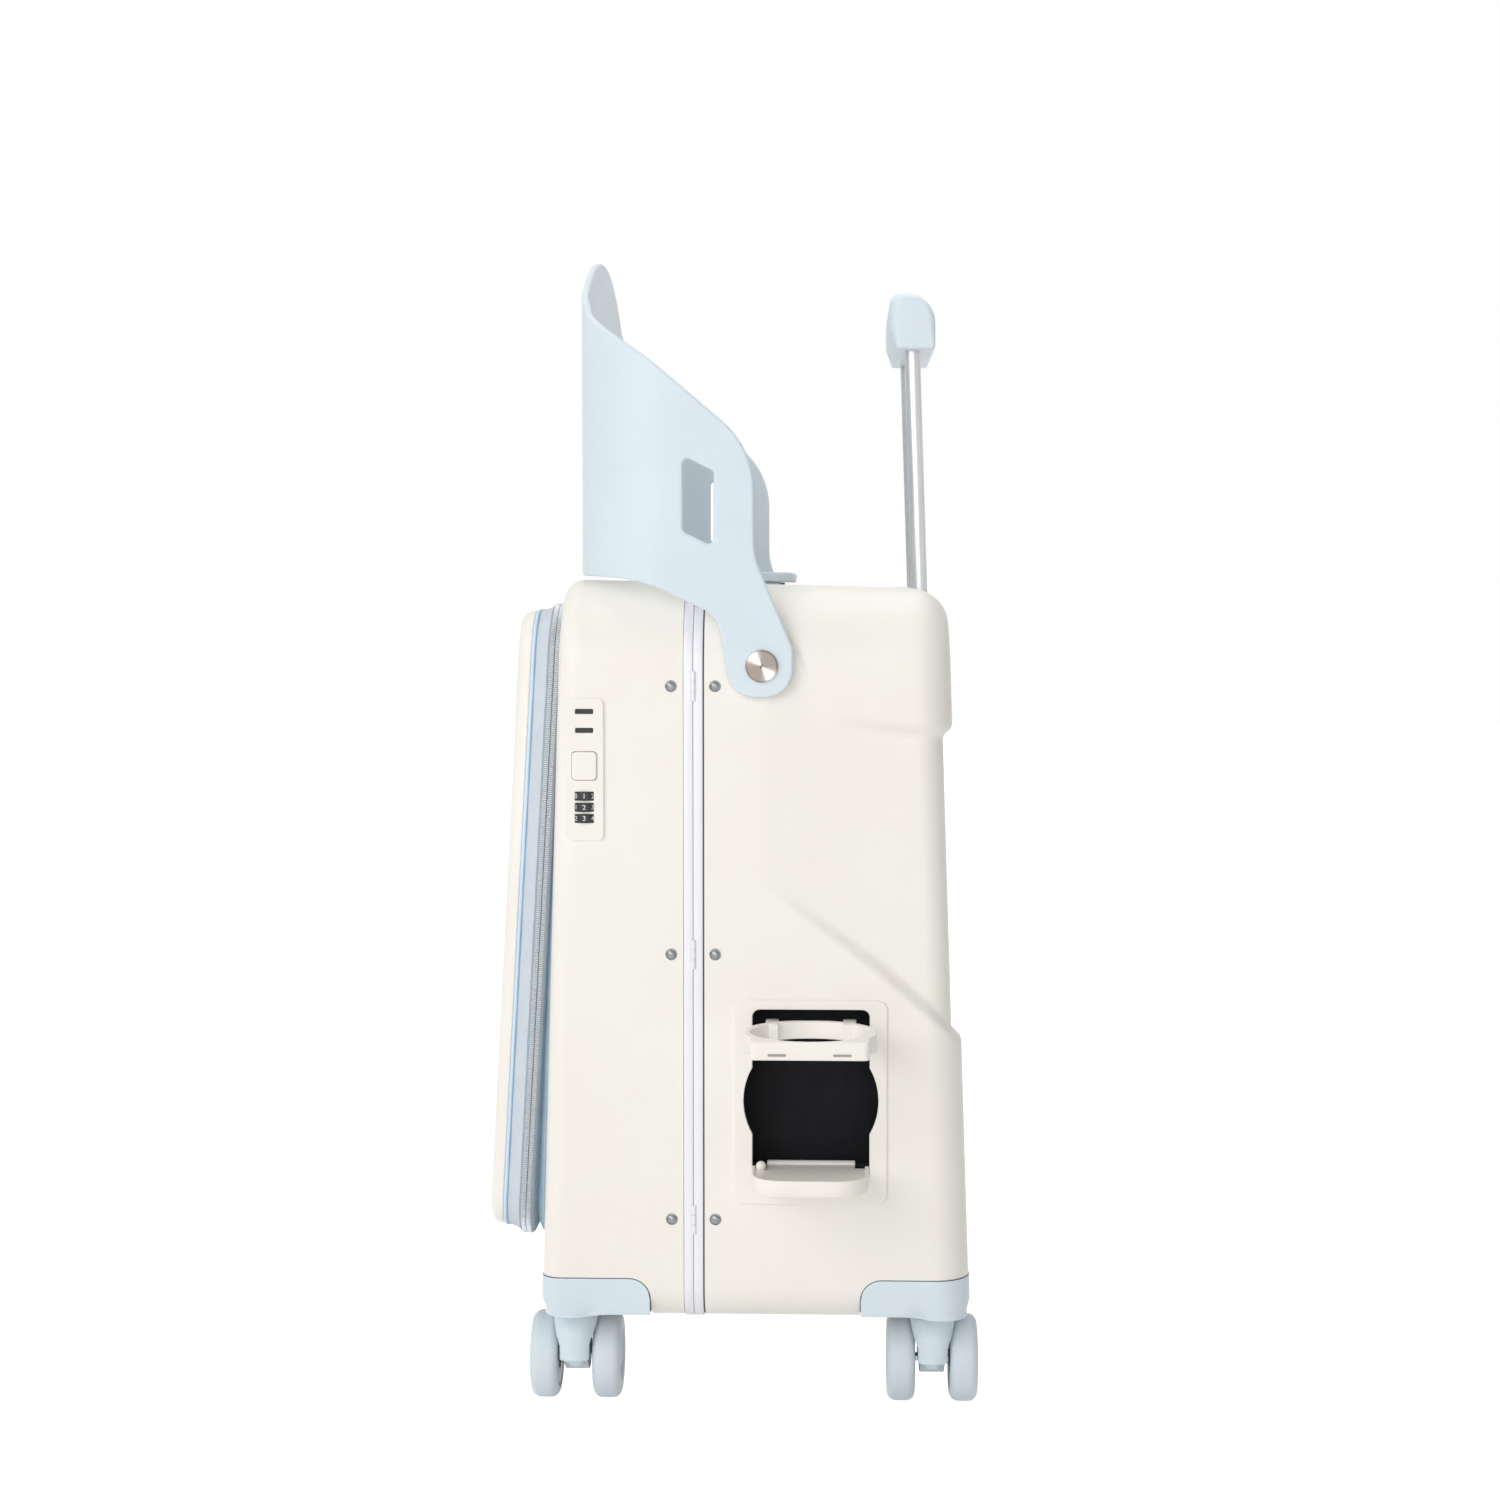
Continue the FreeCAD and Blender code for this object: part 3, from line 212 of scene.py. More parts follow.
pivotAxis = row((bolt["x"], 0.0, bolt["z"])).tolist()
materials = {
    "shell": plastic("creamMouldedShell", "#f5f2ea", "#f2ede5", 0.40),
    "lining": plastic("innerShellPlastic", "#d9d6cd", "#cfccc3", 0.55),
    "blue": plastic("paleBluePlastic", "#dbe7ee", "#d5e2ea", 0.42),
    "wheel": plastic("greyBluePolyurethane", "#dae4ea", "#d2dce4", 0.50, 900.0, 0.08),
    "dark": plastic("blackMouldedPlastic", "#17191c", "#202327", 0.45, 900.0, 0.15),
    "pan": plastic("matteBlackPan", "#16171a", "#1c1d20", 0.75, 900.0, 0.15, 0.15),
    # Grey for thin strips set in gaps: painted shade of the gaps
    "seal": plastic("paintedGapShadeGrey", "#6b6d70", "#5e6063", 0.70, 900.0, 0.10, 0.2),
    # Grey for the cup ring's slits: painted shade of slots
    "slit": plastic("paintedSlotShadePlastic", "#a7a49d", "#9c9992", 0.60),
    "dial": plastic("blackDialPlastic", "#121315", "#1a1c1f", 0.35),
    "digit": plastic("whiteDialInk", "#f2f2ee", "#e6e6e2", 0.5),
    "piping": plastic("paleBluePiping", "#d6e8f6", "#cee2f3", 0.38),
    # Darker blue for the line beside the piping: painted shade
    "pipingEdge": plastic("paintedPipingShadeBlue", "#8cadc9", "#82a4c1", 0.5),
    "frameBar": metal("satinAnodisedAluminium", "#e8e8ec", "#e1e1e7", 0.50, (700.0, 700.0, 9.0), 0.02, 0.2),
    "chrome": metal("satinChromedTube", "#d8d9da", "#cdced0", 0.22, (900.0, 900.0, 6.0), 0.02, 0.42),
    "rivet": metal("polishedRivetSteel", "#8f9193", "#717476", 0.24, (400.0, 400.0, 400.0), 0.05),
    "steel": metal("drawnSteel", "#bfc2c4", "#aeb2b5", 0.3, (700.0, 700.0, 12.0), 0.03),
    # The pivot's lightest stop is the painted highlight of its two bright fans
    "pivot": turnedMetal("turnedPivotSteelPaintedSheen", ((0.05, "#7d746d"), (0.2, "#8f867e"), (0.9, "#e6e1dc")), 0.36,
                         pivotAxis, (-0.669, 0.0, 0.743)),
    "fabric": cloth("paleBlueWovenFabric", "#dae2e9", "#c8d2db", 0.0009),
    # The gusset's darker blue-grey is partly the cloth's tone and partly painted shade of its fold
    "gusset": cloth("greyBlueWovenFabricPaintedShade", "#aec3d2", "#8da6b7", 0.0009),
    "tape": cloth("silverGreyZipTape", "#b4bec6", "#929da7", 0.0007),
    "teeth": metal("silverCoilTeeth", "#dfe3e6", "#c0c7cc", 0.32, (1500.0, 1500.0, 1500.0), 0.05, 0.35),
}


# Mesh helpers

def build(name, points, faces, finish, body, slot=None, replaces=(), uv=None, sharp=38.0, close=True):
    mesh = bpy.data.meshes.new(name)
    mesh.from_pydata(row(points).tolist(), [], [list(f) for f in faces])
    if uv is not None:
        layer = mesh.uv_layers.new(name="metres")
        vertices = np.empty(len(mesh.loops), np.int32)
        mesh.loops.foreach_get("vertex_index", vertices)
        layer.data.foreach_set("uv", np.asarray(uv, np.float32)[vertices].ravel())
    made = bmesh.new()
    made.from_mesh(mesh)
    bmesh.ops.remove_doubles(made, verts=made.verts, dist=2e-6)
    bmesh.ops.dissolve_degenerate(made, edges=made.edges, dist=1e-7)
    if close:
        bmesh.ops.recalc_face_normals(made, faces=made.faces)
    made.to_mesh(mesh)
    made.free()
    mesh.shade_smooth()
    mesh.set_sharp_from_angle(angle=math.radians(sharp))
    mesh.materials.append(materials[finish])
    piece = bpy.data.objects.new(name, mesh)
    bpy.context.scene.collection.objects.link(piece)
    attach(piece, body)
    if replaces:
        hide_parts(*replaces)


# Quads between neighbouring rows and columns of a grid of points
def gridFaces(rows, columns, wrapColumns=False, wrapRows=False):
    r = np.arange(rows if wrapRows else rows - 1)
    c = np.arange(columns if wrapColumns else columns - 1)
    r, c = np.meshgrid(r, c, indexing="ij")
    rn, cn = (r + 1) % rows, (c + 1) % columns
    r, rn = r * columns, rn * columns
    return np.stack((r + c, r + cn, rn + cn, rn + c), -1).reshape(-1, 4)


# Rings or rows of points, one after the other, as one mesh
def sheet(levels, wrapColumns=True, wrapRows=False):
    levels = np.array(levels)
    return levels.reshape(-1, 3), gridFaces(*levels.shape[:2], wrapColumns, wrapRows)


# Rings of points with a flat face over the first and the last
def capped(levels):
    points, faces = sheet(levels)
    count = len(levels[0])
    return points, faces.tolist() + [list(range(count)), list(range(len(points) - count, len(points)))]


def place(axis, a, b, along):
    a, b, along = np.broadcast_arrays(np.asarray(a, float), np.asarray(b, float), np.asarray(along, float))
    order = {"x": (along, a, b), "y": (a, along, b), "z": (a, b, along)}[axis]
    return np.stack(order, -1)


# A chain of points with each corner rounded by its radius, arcs in steps of about turn degrees
def rounded(points, rounds, closed=True, turn=9.0):
    points = [np.asarray(p, float) for p in points]
    rounds = [rounds] * len(points) if np.isscalar(rounds) else rounds
    chain = []
    for i, p in enumerate(points):
        if rounds[i] <= 0 or (not closed and i in (0, len(points) - 1)):
            chain.append(p)
            continue
        before = points[i - 1] - p
        after = points[(i + 1) % len(points)] - p
        before, after = before / np.linalg.norm(before), after / np.linalg.norm(after)
        half = math.acos(np.clip(before @ after, -1, 1)) / 2
        start = p + before * rounds[i] / math.tan(half)
        middle = p + (before + after) / np.linalg.norm(before + after) * rounds[i] / math.sin(half)
        sweep = math.pi - 2 * half
        side = np.sign(before[0] * after[1] - before[1] * after[0])
        count = max(3, int(math.ceil(math.degrees(sweep) / turn)))
        first = math.atan2(*(start - middle)[::-1])
        for k in range(count + 1):
            angle = first - side * sweep * k / count
            chain.append(middle + rounds[i] * np.array((math.cos(angle), math.sin(angle))))
    return np.array(chain)


def circle(centre, radius, count=64):
    t = np.arange(count) * 2 * math.pi / count
    return np.stack((centre[0] + radius * np.cos(t), centre[1] + radius * np.sin(t)), -1)


def box2(a0, a1, b0, b1):
    return [(a0, b0), (a1, b0), (a1, b1), (a0, b1)]


# A rounded rectangle about its middle, by its half sizes
def panel(middle, half, radius):
    a, b = middle
    return rounded(box2(a - half[0], a + half[0], b - half[1], b + half[1]), radius)


def signedArea(loop):
    after = np.roll(loop, -1, 0)
    return 0.5 * np.sum(loop[:, 0] * after[:, 1] - after[:, 0] * loop[:, 1])


# Moves a closed loop inwards along its corners' normals
def shrunk(loop, distance):
    before, after = np.roll(loop, 1, 0), np.roll(loop, -1, 0)
    e1, e2 = loop - before, after - loop
    e1 = e1 / np.maximum(np.linalg.norm(e1, axis=1, keepdims=True), 1e-9)
    e2 = e2 / np.maximum(np.linalg.norm(e2, axis=1, keepdims=True), 1e-9)
    n = np.stack((-(e1[:, 1] + e2[:, 1]), e1[:, 0] + e2[:, 0]), -1)
    scale = np.maximum(np.sum(n * np.stack((-e1[:, 1], e1[:, 0]), -1), 1), 0.25)
    return loop + distance * n / scale[:, None]


# A flat plate with holes and rounded rims: rings of the outline step round each rim's quarter circle,
# one more ring just inside keeps the flat faces flat, and triangles fill them
def plate(outline, holes, low, high, rim, steps=4):
    loops = [np.asarray(outline)[::1 if signedArea(np.asarray(outline)) > 0 else -1]]
    loops += [np.asarray(h)[::-1 if signedArea(np.asarray(h)) > 0 else 1] for h in holes]
    arc = [math.pi / 2 * k / steps for k in range(steps + 1)]
    levels = [(rim + 0.25, low)] + [(rim * (1 - math.sin(a)), low + rim * (1 - math.cos(a))) for a in arc]
    levels += [(rim * (1 - math.cos(a)), high - rim * (1 - math.sin(a))) for a in arc] + [(rim + 0.25, high)]
    points, faces, caps = [], [], ([], [])
    for loop in loops:
        start = sum(len(p) for p in points)
        rings = [np.column_stack((shrunk(loop, inset), np.full(len(loop), level))) for inset, level in levels]
        points += rings
        faces += (gridFaces(len(levels), len(loop), True) + start).tolist()
        caps[0].append((rings[0], start))
        caps[1].append((rings[-1], start + (len(levels) - 1) * len(loop)))
    for cap in caps:
        index = np.concatenate([np.arange(len(ring)) + first for ring, first in cap])
        made = tessellate_polygon([[Vector(p) for p in ring] for ring, first in cap])
        faces += [[int(index[i]) for i in tri] for tri in made]
    return np.concatenate(points), faces


def flatPlate(axis, *rest):
    points, faces = plate(*rest)
    return place(axis, points[:, 0], points[:, 1], points[:, 2]), faces


def platePiece(name, axis, outline, holes, low, high, rim, finish, body, slot, replaces):
    build(name, *flatPlate(axis, outline, holes, low, high, rim), finish, body, slot, replaces)


# A mesh cut through at places along its first axis, so that it can be bent there
def sliced(points, faces, cuts):
    made = bmesh.new()
    verts = [made.verts.new(p) for p in points]
    for face in faces:
        corners = [verts[i] for i in face]
        if len(set(face)) == len(face) and made.faces.get(corners) is None:
            made.faces.new(corners)
    for cut in cuts:
        geometry = made.verts[:] + made.edges[:] + made.faces[:]
        bmesh.ops.bisect_plane(made, geom=geometry, dist=1e-4, plane_co=(cut, 0, 0), plane_no=(1, 0, 0))
    made.verts.index_update()
    points = np.array([v.co for v in made.verts])
    faces = [[v.index for v in face.verts] for face in made.faces]
    made.free()
    return points, faces


# Several shapes as one mesh
def gather(shapes):
    points, faces, start = [], [], 0
    for p, f in shapes:
        points.append(np.asarray(p, float))
        faces += [[int(i) + start for i in face] for face in f]
        start += len(p)
    return np.concatenate(points), faces


# A profile of (radius, height) turned about an axis through origin
def lathe(profile, origin, axis, count=48):
    profile = np.asarray(profile, float)
    axis = np.asarray(axis, float) / np.linalg.norm(axis)
    side = np.cross(axis, (0.0, 0.0, 1.0) if abs(axis[2]) < 0.9 else (1.0, 0.0, 0.0))
    side /= np.linalg.norm(side)
    other = np.cross(axis, side)
    t = np.arange(count) * 2 * math.pi / count
    spin = np.cos(t)[:, None] * side + np.sin(t)[:, None] * other
    points = np.asarray(origin) + profile[:, None, :1] * spin + profile[:, None, 1:] * axis
    return points.reshape(-1, 3), gridFaces(len(profile), count, True)


# A quarter circle from angle a to b, in degrees, about (radius, height)
def quarter(centre, radius, a, b, count=6):
    t = np.radians(np.linspace(a, b, count))
    return [(centre[0] + radius * math.cos(v), centre[1] + radius * math.sin(v)) for v in t]


# Case halves

# Points (y, z) round a cross section with outward normals: straight runs and corner arcs, with the named
# marks among them
def around(half, low, high, lowRound, topRound, step, arcStep, marksY=(), marksZ=()):
    corners = [(-half + lowRound, low + lowRound, lowRound, -90, -180),
               (-half + topRound, high - topRound, topRound, 180, 90),
               (half - topRound, high - topRound, topRound, 90, 0),
               (half - lowRound, low + lowRound, lowRound, 0, -90)]
    points, normals = [], []
    for i, (cy, cz, r, a, b) in enumerate(corners):
        t = np.radians(np.linspace(a, b, max(5, int(r * math.pi / 2 / arcStep)) + 1))
        n = np.stack((np.cos(t), np.sin(t)), -1)
        arc = np.array((cy, cz)) + r * n
        ny, nz, nr, na, _ = corners[(i + 1) % 4]
        to = np.array((ny, nz)) + nr * np.array((math.cos(math.radians(na)), math.sin(math.radians(na))))
        count = max(2, int(np.linalg.norm(to - arc[-1]) / step))
        f = np.arange(1, count) / count
        run = arc[-1] + f[:, None] * (to - arc[-1])
        axis = int(abs(to - arc[-1])[1] > 1)
        for mark in (marksZ if axis else marksY):
            if min(arc[-1][axis], to[axis]) < mark < max(arc[-1][axis], to[axis]):
                run[np.argmin(abs(run[:, axis] - mark)), axis] = mark
        points += [arc, run]
        normals += [n, np.repeat(n[-1:], len(run), 0)]
    return np.concatenate(points), np.concatenate(normals)


def caseLoop(step, arcStep, marksY=(), marksZ=()):
    return around(case["half"], case["floor"], case["top"], case["sideFoot"], case["sideTop"], step, arcStep,
                  marksY, marksZ)


# The case's cross section at x, moved in by shift, with its top brought down softly to the sloping seat
def caseRing(base, normal, x, shift):
    z = np.where(base[:, 1] > case["seatFrom"], softMin(base[:, 1], seatZ(x), case["seatSoft"]), base[:, 1])
    return base[:, 0] - shift * normal[:, 0], z - shift * normal[:, 1]


# One half of the case as rings of the cross section: along the sides, round the end's edge by its radius,
# then shrinking over the end wall to its middle
def caseHalf(rear, step, wallRings, inset=0.0, arcStep=None):
    sign, end, edgeX = (1, "rear", rearX) if rear else (-1, "front", frontX)
    markY = case["half"] - corner["reachY"] - corner["clear"]
    base, normal = caseLoop(step, arcStep or step, (-markY, markY), (corner["top"] + corner["clear"],))
    side, up = normal[:, 0] ** 2, normal[:, 1] ** 2
    radius = case[end + "Edge"] * side
    radius = radius + np.where(normal[:, 1] > 0, case[end + "TopRound"], case["footRound"]) * up - inset
    near = np.full(len(base), case[end + "Seam"])
    mark = np.full(len(base), case[end + "Foot"] - sign * (corner["reachX"] + corner["clear"]))
    y, z = caseRing(base, normal, mark, inset)
    last = edgeX(z) - sign * (radius + inset)
    levels = []
    for a, b in ((near, mark), (mark, last)):
        count = max(2, int(np.mean(abs(b - a)) / step))
        for f in np.arange(count) / count:
            x = a + f * (b - a)
            levels.append(np.stack((x, *caseRing(base, normal, x, inset)), -1))
    for angle in np.radians(np.linspace(0, 90, max(4, int(case["edgeArc"] / step)))):
        y, z = caseRing(base, normal, last, inset + radius * (1 - math.cos(angle)))
        x = edgeX(z) - sign * (inset + radius * (1 - math.sin(angle)))
        levels.append(np.stack((x, y, z), -1))
    for k in np.linspace(1, 0, wallRings + 1)[1:]:
        wallZ = case["wallMiddle"] + (z - case["wallMiddle"]) * k
        levels.append(np.stack((edgeX(wallZ) - sign * inset, y * k, wallZ), -1))
    return np.array(levels)


# The stowing recess: a band across the rear wall and the sides, pressed in along the surface's normal, deeper
# towards the rear; its upper and lower edges follow the folded guard and are softened over a few millimetres
recess = {"depth": 5.9, "step": 0.7, "stepFrom": 46.0, "stepSoft": 12.0, "fadeX": 55.0,
          "upperX": (50.0, 60.0, 69.0, 76.0, 79.0, 88.0, 95.0, 126.0, 170.0, 290.0),
          "upperZ": (560.0, 545.0, 527.0, 512.0, 498.0, 482.5, 477.0, 471.0, 467.5, 467.0),
          "lowerX": (40.0, 60.0, 124.5, 290.0), "lowerZ": (373.0, 358.0, 310.0, 167.0), "soft": 8.0,
          "dipMiddle": 491.2, "dipRadius": 270.2, "dipFrom": 150.0, "dipSoft": 14.0, "dipTop": 440.0,
          "innerGrow": 12.0}


def recessed(points, grow=0.0):
    x, y, z = points[..., 0], points[..., 1], points[..., 2]
    soft = recess["soft"]
    upper = np.interp(x, recess["upperX"], recess["upperZ"]) + grow
    lower = np.interp(x, recess["lowerX"], recess["lowerZ"]) - grow
    band = smooth((upper - z) / soft + 0.5) * smooth((z - lower) / soft + 0.5)
    far = np.hypot(y, z - recess["dipMiddle"])
    dip = smooth((recess["dipRadius"] + grow - far) / soft + 0.5)
    dip = dip * smooth((x - recess["dipFrom"]) / recess["dipSoft"]) * (z < recess["dipTop"])
    rest = np.clip((case["rearTop"] - x) / (case["rearTop"] - recess["fadeX"]), 0, 1)
    depth = recess["depth"] * (1 - rest * rest)
    depth = depth + recess["step"] * smooth((x - recess["stepFrom"]) / recess["stepSoft"])
    outX = np.maximum(x - rearX(z) + case["rearEdge"], 0)
    outY = np.maximum(abs(y) - case["half"] + case["rearEdge"], 0)
    reach = np.maximum(np.hypot(outX, outY), 1e-6)
    push = np.maximum(band, dip) * depth
    return np.stack((x - push * outX / reach, y - push * np.sign(y) * outY / reach, z), -1)


def keepFaces(points, faces, drop):
    middle = points[faces].mean(1)
    return faces[~drop(middle[:, 0], middle[:, 1], middle[:, 2])]


# Where a corner guard covers the shell
def cornerHidden(x, y, z, rear):
    sign, foot = (1, case["rearFoot"]) if rear else (-1, case["frontFoot"])
    out, aside = sign * (x - foot), abs(y) - case["half"]
    under = (out > corner["lap"] - corner["reachX"]) & (aside > corner["lap"] - corner["reachY"])
    deep = (out > -corner["deepX"][rear]) & (aside > -corner["deepY"])
    return (under & (z < corner["under"] + corner["lap"])) | (deep & (z < corner["deepZ"]))


# Openings in the shells, by half sizes, for the handles, the cup holder's pan and the lock
openings = {"slot": (7.5, 5.0), "slotFrom": 560.0, "bezel": (9.0, 78.0), "bezelFrom": 555.0,
            "lock": (10.6, 44.0), "near": -170.0, "innerGrow": 7.0}


def inPan(x, z, grow):
    square = (abs(x - pan["x"]) < pan["half"] + grow) & (z > pan["low"] - grow) & (z < pan["high"] + grow)
    return square | (np.hypot(x - pan["x"], z - pan["bulgeZ"]) < pan["bulge"] + grow)


def rearDrop(x, y, z, grow=2.0, corners=True):
    slot = (abs(x - carry["x"]) < openings["slot"][0]) & (abs(abs(y) - carry["legY"]) < openings["slot"][1])
    bezel = (abs(x - handle["x"]) < openings["bezel"][0]) & (abs(y) < openings["bezel"][1])
    drop = inPan(x, z, grow) & (y < openings["near"])
    drop = drop | (slot & (z > openings["slotFrom"])) | (bezel & (z > openings["bezelFrom"]))
    return drop | cornerHidden(x, y, z, True) if corners else drop


def frontDrop(x, y, z, grow=0.0, corners=True):
    halfX, halfZ = openings["lock"]
    drop = (abs(x - lock["x"]) < halfX + grow) & (abs(z - lock["middle"]) < halfZ + grow)
    drop = drop & (y < openings["near"])
    return drop | cornerHidden(x, y, z, False) if corners else drop


def shellPiece(name, levels, drop, finish, body, replaces=()):
    points, faces = sheet(levels)
    build(name, points, keepFaces(points, faces, drop), finish, body, "shell", replaces, sharp=60)
    return len(faces)


shellStep, shellRings = ((2.9, 70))
rearOutside = recessed(caseHalf(True, shellStep, shellRings))
rearCount = shellPiece("rearShell", rearOutside, rearDrop, "shell", "rear_case", ("rear_shell",))
frontOutside = caseHalf(False, 4.0, 14, arcStep=2.5)
frontCount = shellPiece("frontShell", frontOutside, frontDrop, "shell", "front_case", ("front_shell",))
rearInside = recessed(caseHalf(True, 6.0, 36, case["wall"]), recess["innerGrow"])
shellPiece("rearInnerWall", rearInside, lambda *at: rearDrop(*at, openings["innerGrow"], False), "lining",
           "rear_case")
frontInside = caseHalf(False, 8.0, 16, case["wall"])
shellPiece("frontInnerWall", frontInside, lambda *at: frontDrop(*at, openings["innerGrow"], False), "lining",
           "front_case")
print("case halves", rearCount, frontCount)


# Frame bars: a section swept round the case's cross section, standing a little proud, with a flange inside
frameBar = {"proud": 0.8, "band": 6.5, "reach": 24.0, "flange": 1.8, "seam": 0.12, "rim": 0.45, "step": 6.0,
            "arcStep": 2.2, "gapShadeX": 7.0, "gapShadeHalf": 0.7, "gapShadeIn": 0.7}
frameLoop = caseLoop(frameBar["step"], frameBar["arcStep"])


# The frame's line round the case at x, moved in by shift and cut to the seat as it is at seatX
def frameRing(x, shift, seatX):
    return np.stack((np.full(len(frameLoop[0]), x), *caseRing(*frameLoop, seatX, shift)), -1)


def frameSweep(sign):
    p, b, s, r = frameBar["proud"], frameBar["band"], frameBar["seam"], frameBar["rim"]
    deep = case["wall"] + frameBar["flange"]
    section = [(s, deep), (s, -p + r), (s + r * 0.3, -p + r * 0.3), (s + r, -p), (b - r, -p),
               (b - r * 0.3, -p + r * 0.3), (b, -p + r), (b, case["wall"]), (frameBar["reach"], case["wall"]),
               (frameBar["reach"], deep)]
    return sheet([frameRing(sign * x, shift, sign * x) for x, shift in section], True, True)


build("rearFrameBar", *frameSweep(1), "frameBar", "rear_case", "frame_metal", ("rear_frame",), sharp=50)
build("frontFrameBar", *frameSweep(-1), "frameBar", "front_case", "frame_metal", ("front_frame",), sharp=50)

# A thin grey strip in the gap between the rear bar and its shell is painted shade, showing the gap as a dark
# line
gapShadeEdges = [frameBar["gapShadeX"] + s * frameBar["gapShadeHalf"] for s in (-1, 1)]
gapShadeLevels = [frameRing(x, frameBar["gapShadeIn"], frameBar["gapShadeX"]) for x in gapShadeEdges]
build("framePaintedGapShade", *sheet(gapShadeLevels), "seal", "rear_case", "dark_plastic", close=False)

# Rivets: a low dome with a turned rim on each side of the frame at three heights
rivet = {"x": 14.8, "heights": (137.0, 318.0, 499.0), "radius": 4.0, "rise": 1.8}
sphere = (rivet["radius"] ** 2 + rivet["rise"] ** 2) / (2 * rivet["rise"])
dome = [(0.02, rivet["rise"])] + [(r, rivet["rise"] - sphere + math.sqrt(sphere ** 2 - r * r))
                                  for r in np.linspace(0.5, 2.8, 7)]
dome += [(3.0, 0.25), (3.3, 0.2), (3.45, 0.5), (3.8, 0.45), (rivet["radius"], 0.2)]
dome += [(rivet["radius"], -0.2), (2.0, -0.2), (2.0, -5.6), (3.2, -5.6), (3.2, -6.8), (0.02, -6.8)]
for sign, body, node in ((1, "rear_case", "rear_rivets"), (-1, "front_case", "front_rivets")):
    shapes = [lathe(dome, (sign * rivet["x"], -case["half"], z), (0, -1, 0), 32) for z in rivet["heights"]]
    build(node.split("_")[0] + "Rivets", *gather(shapes), "rivet", body, "bright_metal", (node,))


# Guard: its outline is drawn flat, length along the bent panel against height, cut into strips across
# the bends, and then wrapped round the plan curve
guard = {"back": -78.5, "reach": 192.5, "bend": 60.0, "thick": 5.0, "peak": 800.0, "archHalf": 159.0,
         "archSide": 751.0, "slope": (-72.5, 754.5), "foot": (-79.5, 573.4), "rim": 1.9, "cut": 3.0,
         "window": (-6.2, 14.3, 602.3, 50.0, 10.3), "windowRound": 3.5, "archStep": 3.0, "footStep": 6.0,
         "side": [(41.0, 657.6), (41.3, 586.0), (67.3, 524.15), (67.3, 491.6), (25.3, 491.6), (17.5, 546.0),
                  (-36.0, 570.4)],
         "rounds": [0, 60, 45, 16.8, 18.9, 18.9, 24, 90, 0], "slopeFrom": -76.0, "slopeSoft": 5.0,
         "slopeLift": 90.0, "blend": 5.0}
guardMid = guard["bend"] - guard["thick"] / 2
guardFlat = guard["reach"] - guard["bend"]
guardTurn = guardFlat + guardMid * math.pi / 2
guardBendX = guard["back"] + guard["bend"]


def guardAcross(a):
    t = np.clip((a - guardFlat) / guardMid, 0, math.pi / 2)
    x = guardBendX - guardMid * np.cos(t) + np.maximum(a - guardTurn, 0)
    y = np.minimum(a, guardFlat) + guardMid * np.sin(t)
    return x, y


def guardAlong(x):
    t = np.arccos(np.clip((guardBendX - x) / guardMid, 0, 1))
    return np.where(x > guardBendX, guardTurn + x - guardBendX, guardFlat + guardMid * t)


def guardOutline():
    chain = rounded([guard["slope"], *guard["side"], guard["foot"]], guard["rounds"], False, 5.0)
    rise = guard["peak"] - guard["archSide"]
    archR = (guard["archHalf"] ** 2 + rise ** 2) / (2 * rise)
    first = chain[1]
    a = np.arange(0, guardAlong(np.array(first[0])), guard["archStep"])
    x, y = guardAcross(a)
    arch = guard["peak"] - archR + np.sqrt(archR ** 2 - y ** 2)
    fall = (first[1] - guard["slope"][1]) / (first[0] - guard["slope"][0])
    slope = guard["slope"][1] + (x - guard["slope"][0]) * fall
    lift = guard["slopeLift"] * (1 - smooth((x - guard["slopeFrom"]) / guard["slopeSoft"]))
    top = softMin(arch, slope + lift, guard["blend"])
    half = [np.stack((a, top), -1), np.stack((guardAlong(chain[1:-1, 0]), chain[1:-1, 1]), -1)]
    low = np.arange(np.floor(guardAlong(np.array(chain[-2, 0])) / 4) * 4 - 4, 0, -guard["footStep"])
    lowX = guardAcross(low)[0]
    lowZ = np.interp(lowX, (guard["foot"][0], chain[-2, 0]), (guard["foot"][1], chain[-2, 1]))
    half.append(np.stack((low, lowZ), -1))
    half = np.concatenate(half)
    return np.concatenate((half, (half * (-1, 1))[::-1][:-1]))


# A window leans: its left edge stands higher by the fall
def guardWindow(sign):
    left, right, low, height, fall = guard["window"]
    corners = [(left, low), (right, low - fall), (right, low - fall + height), (left, low + height)]
    loop = rounded(corners, guard["windowRound"])
    return np.stack((sign * guardAlong(loop[:, 0]), loop[:, 1]), -1)


def guardPiece():
    half = guard["thick"] / 2
    points, faces = plate(guardOutline(), [guardWindow(1), guardWindow(-1)], -half, half, guard["rim"], 5)
    bends = np.arange(guardFlat - guard["cut"], guardTurn + guard["cut"] + 1, guard["cut"])
    flat, faces = sliced(points, faces, [sign * a for a in bends for sign in (-1, 1)])
    a, sign, out = abs(flat[:, 0]), np.where(flat[:, 0] < 0, -1, 1), flat[:, 2]
    x, y = guardAcross(a)
    t = np.clip((a - guardFlat) / guardMid, 0, math.pi / 2)
    points = np.stack((x - out * np.cos(t), sign * (y + out * np.sin(t)), flat[:, 1]), -1)
    build("guardPanel", points, faces, "blue", "guard", "blue_plastic", ("guard",), sharp=40)


guardPiece()

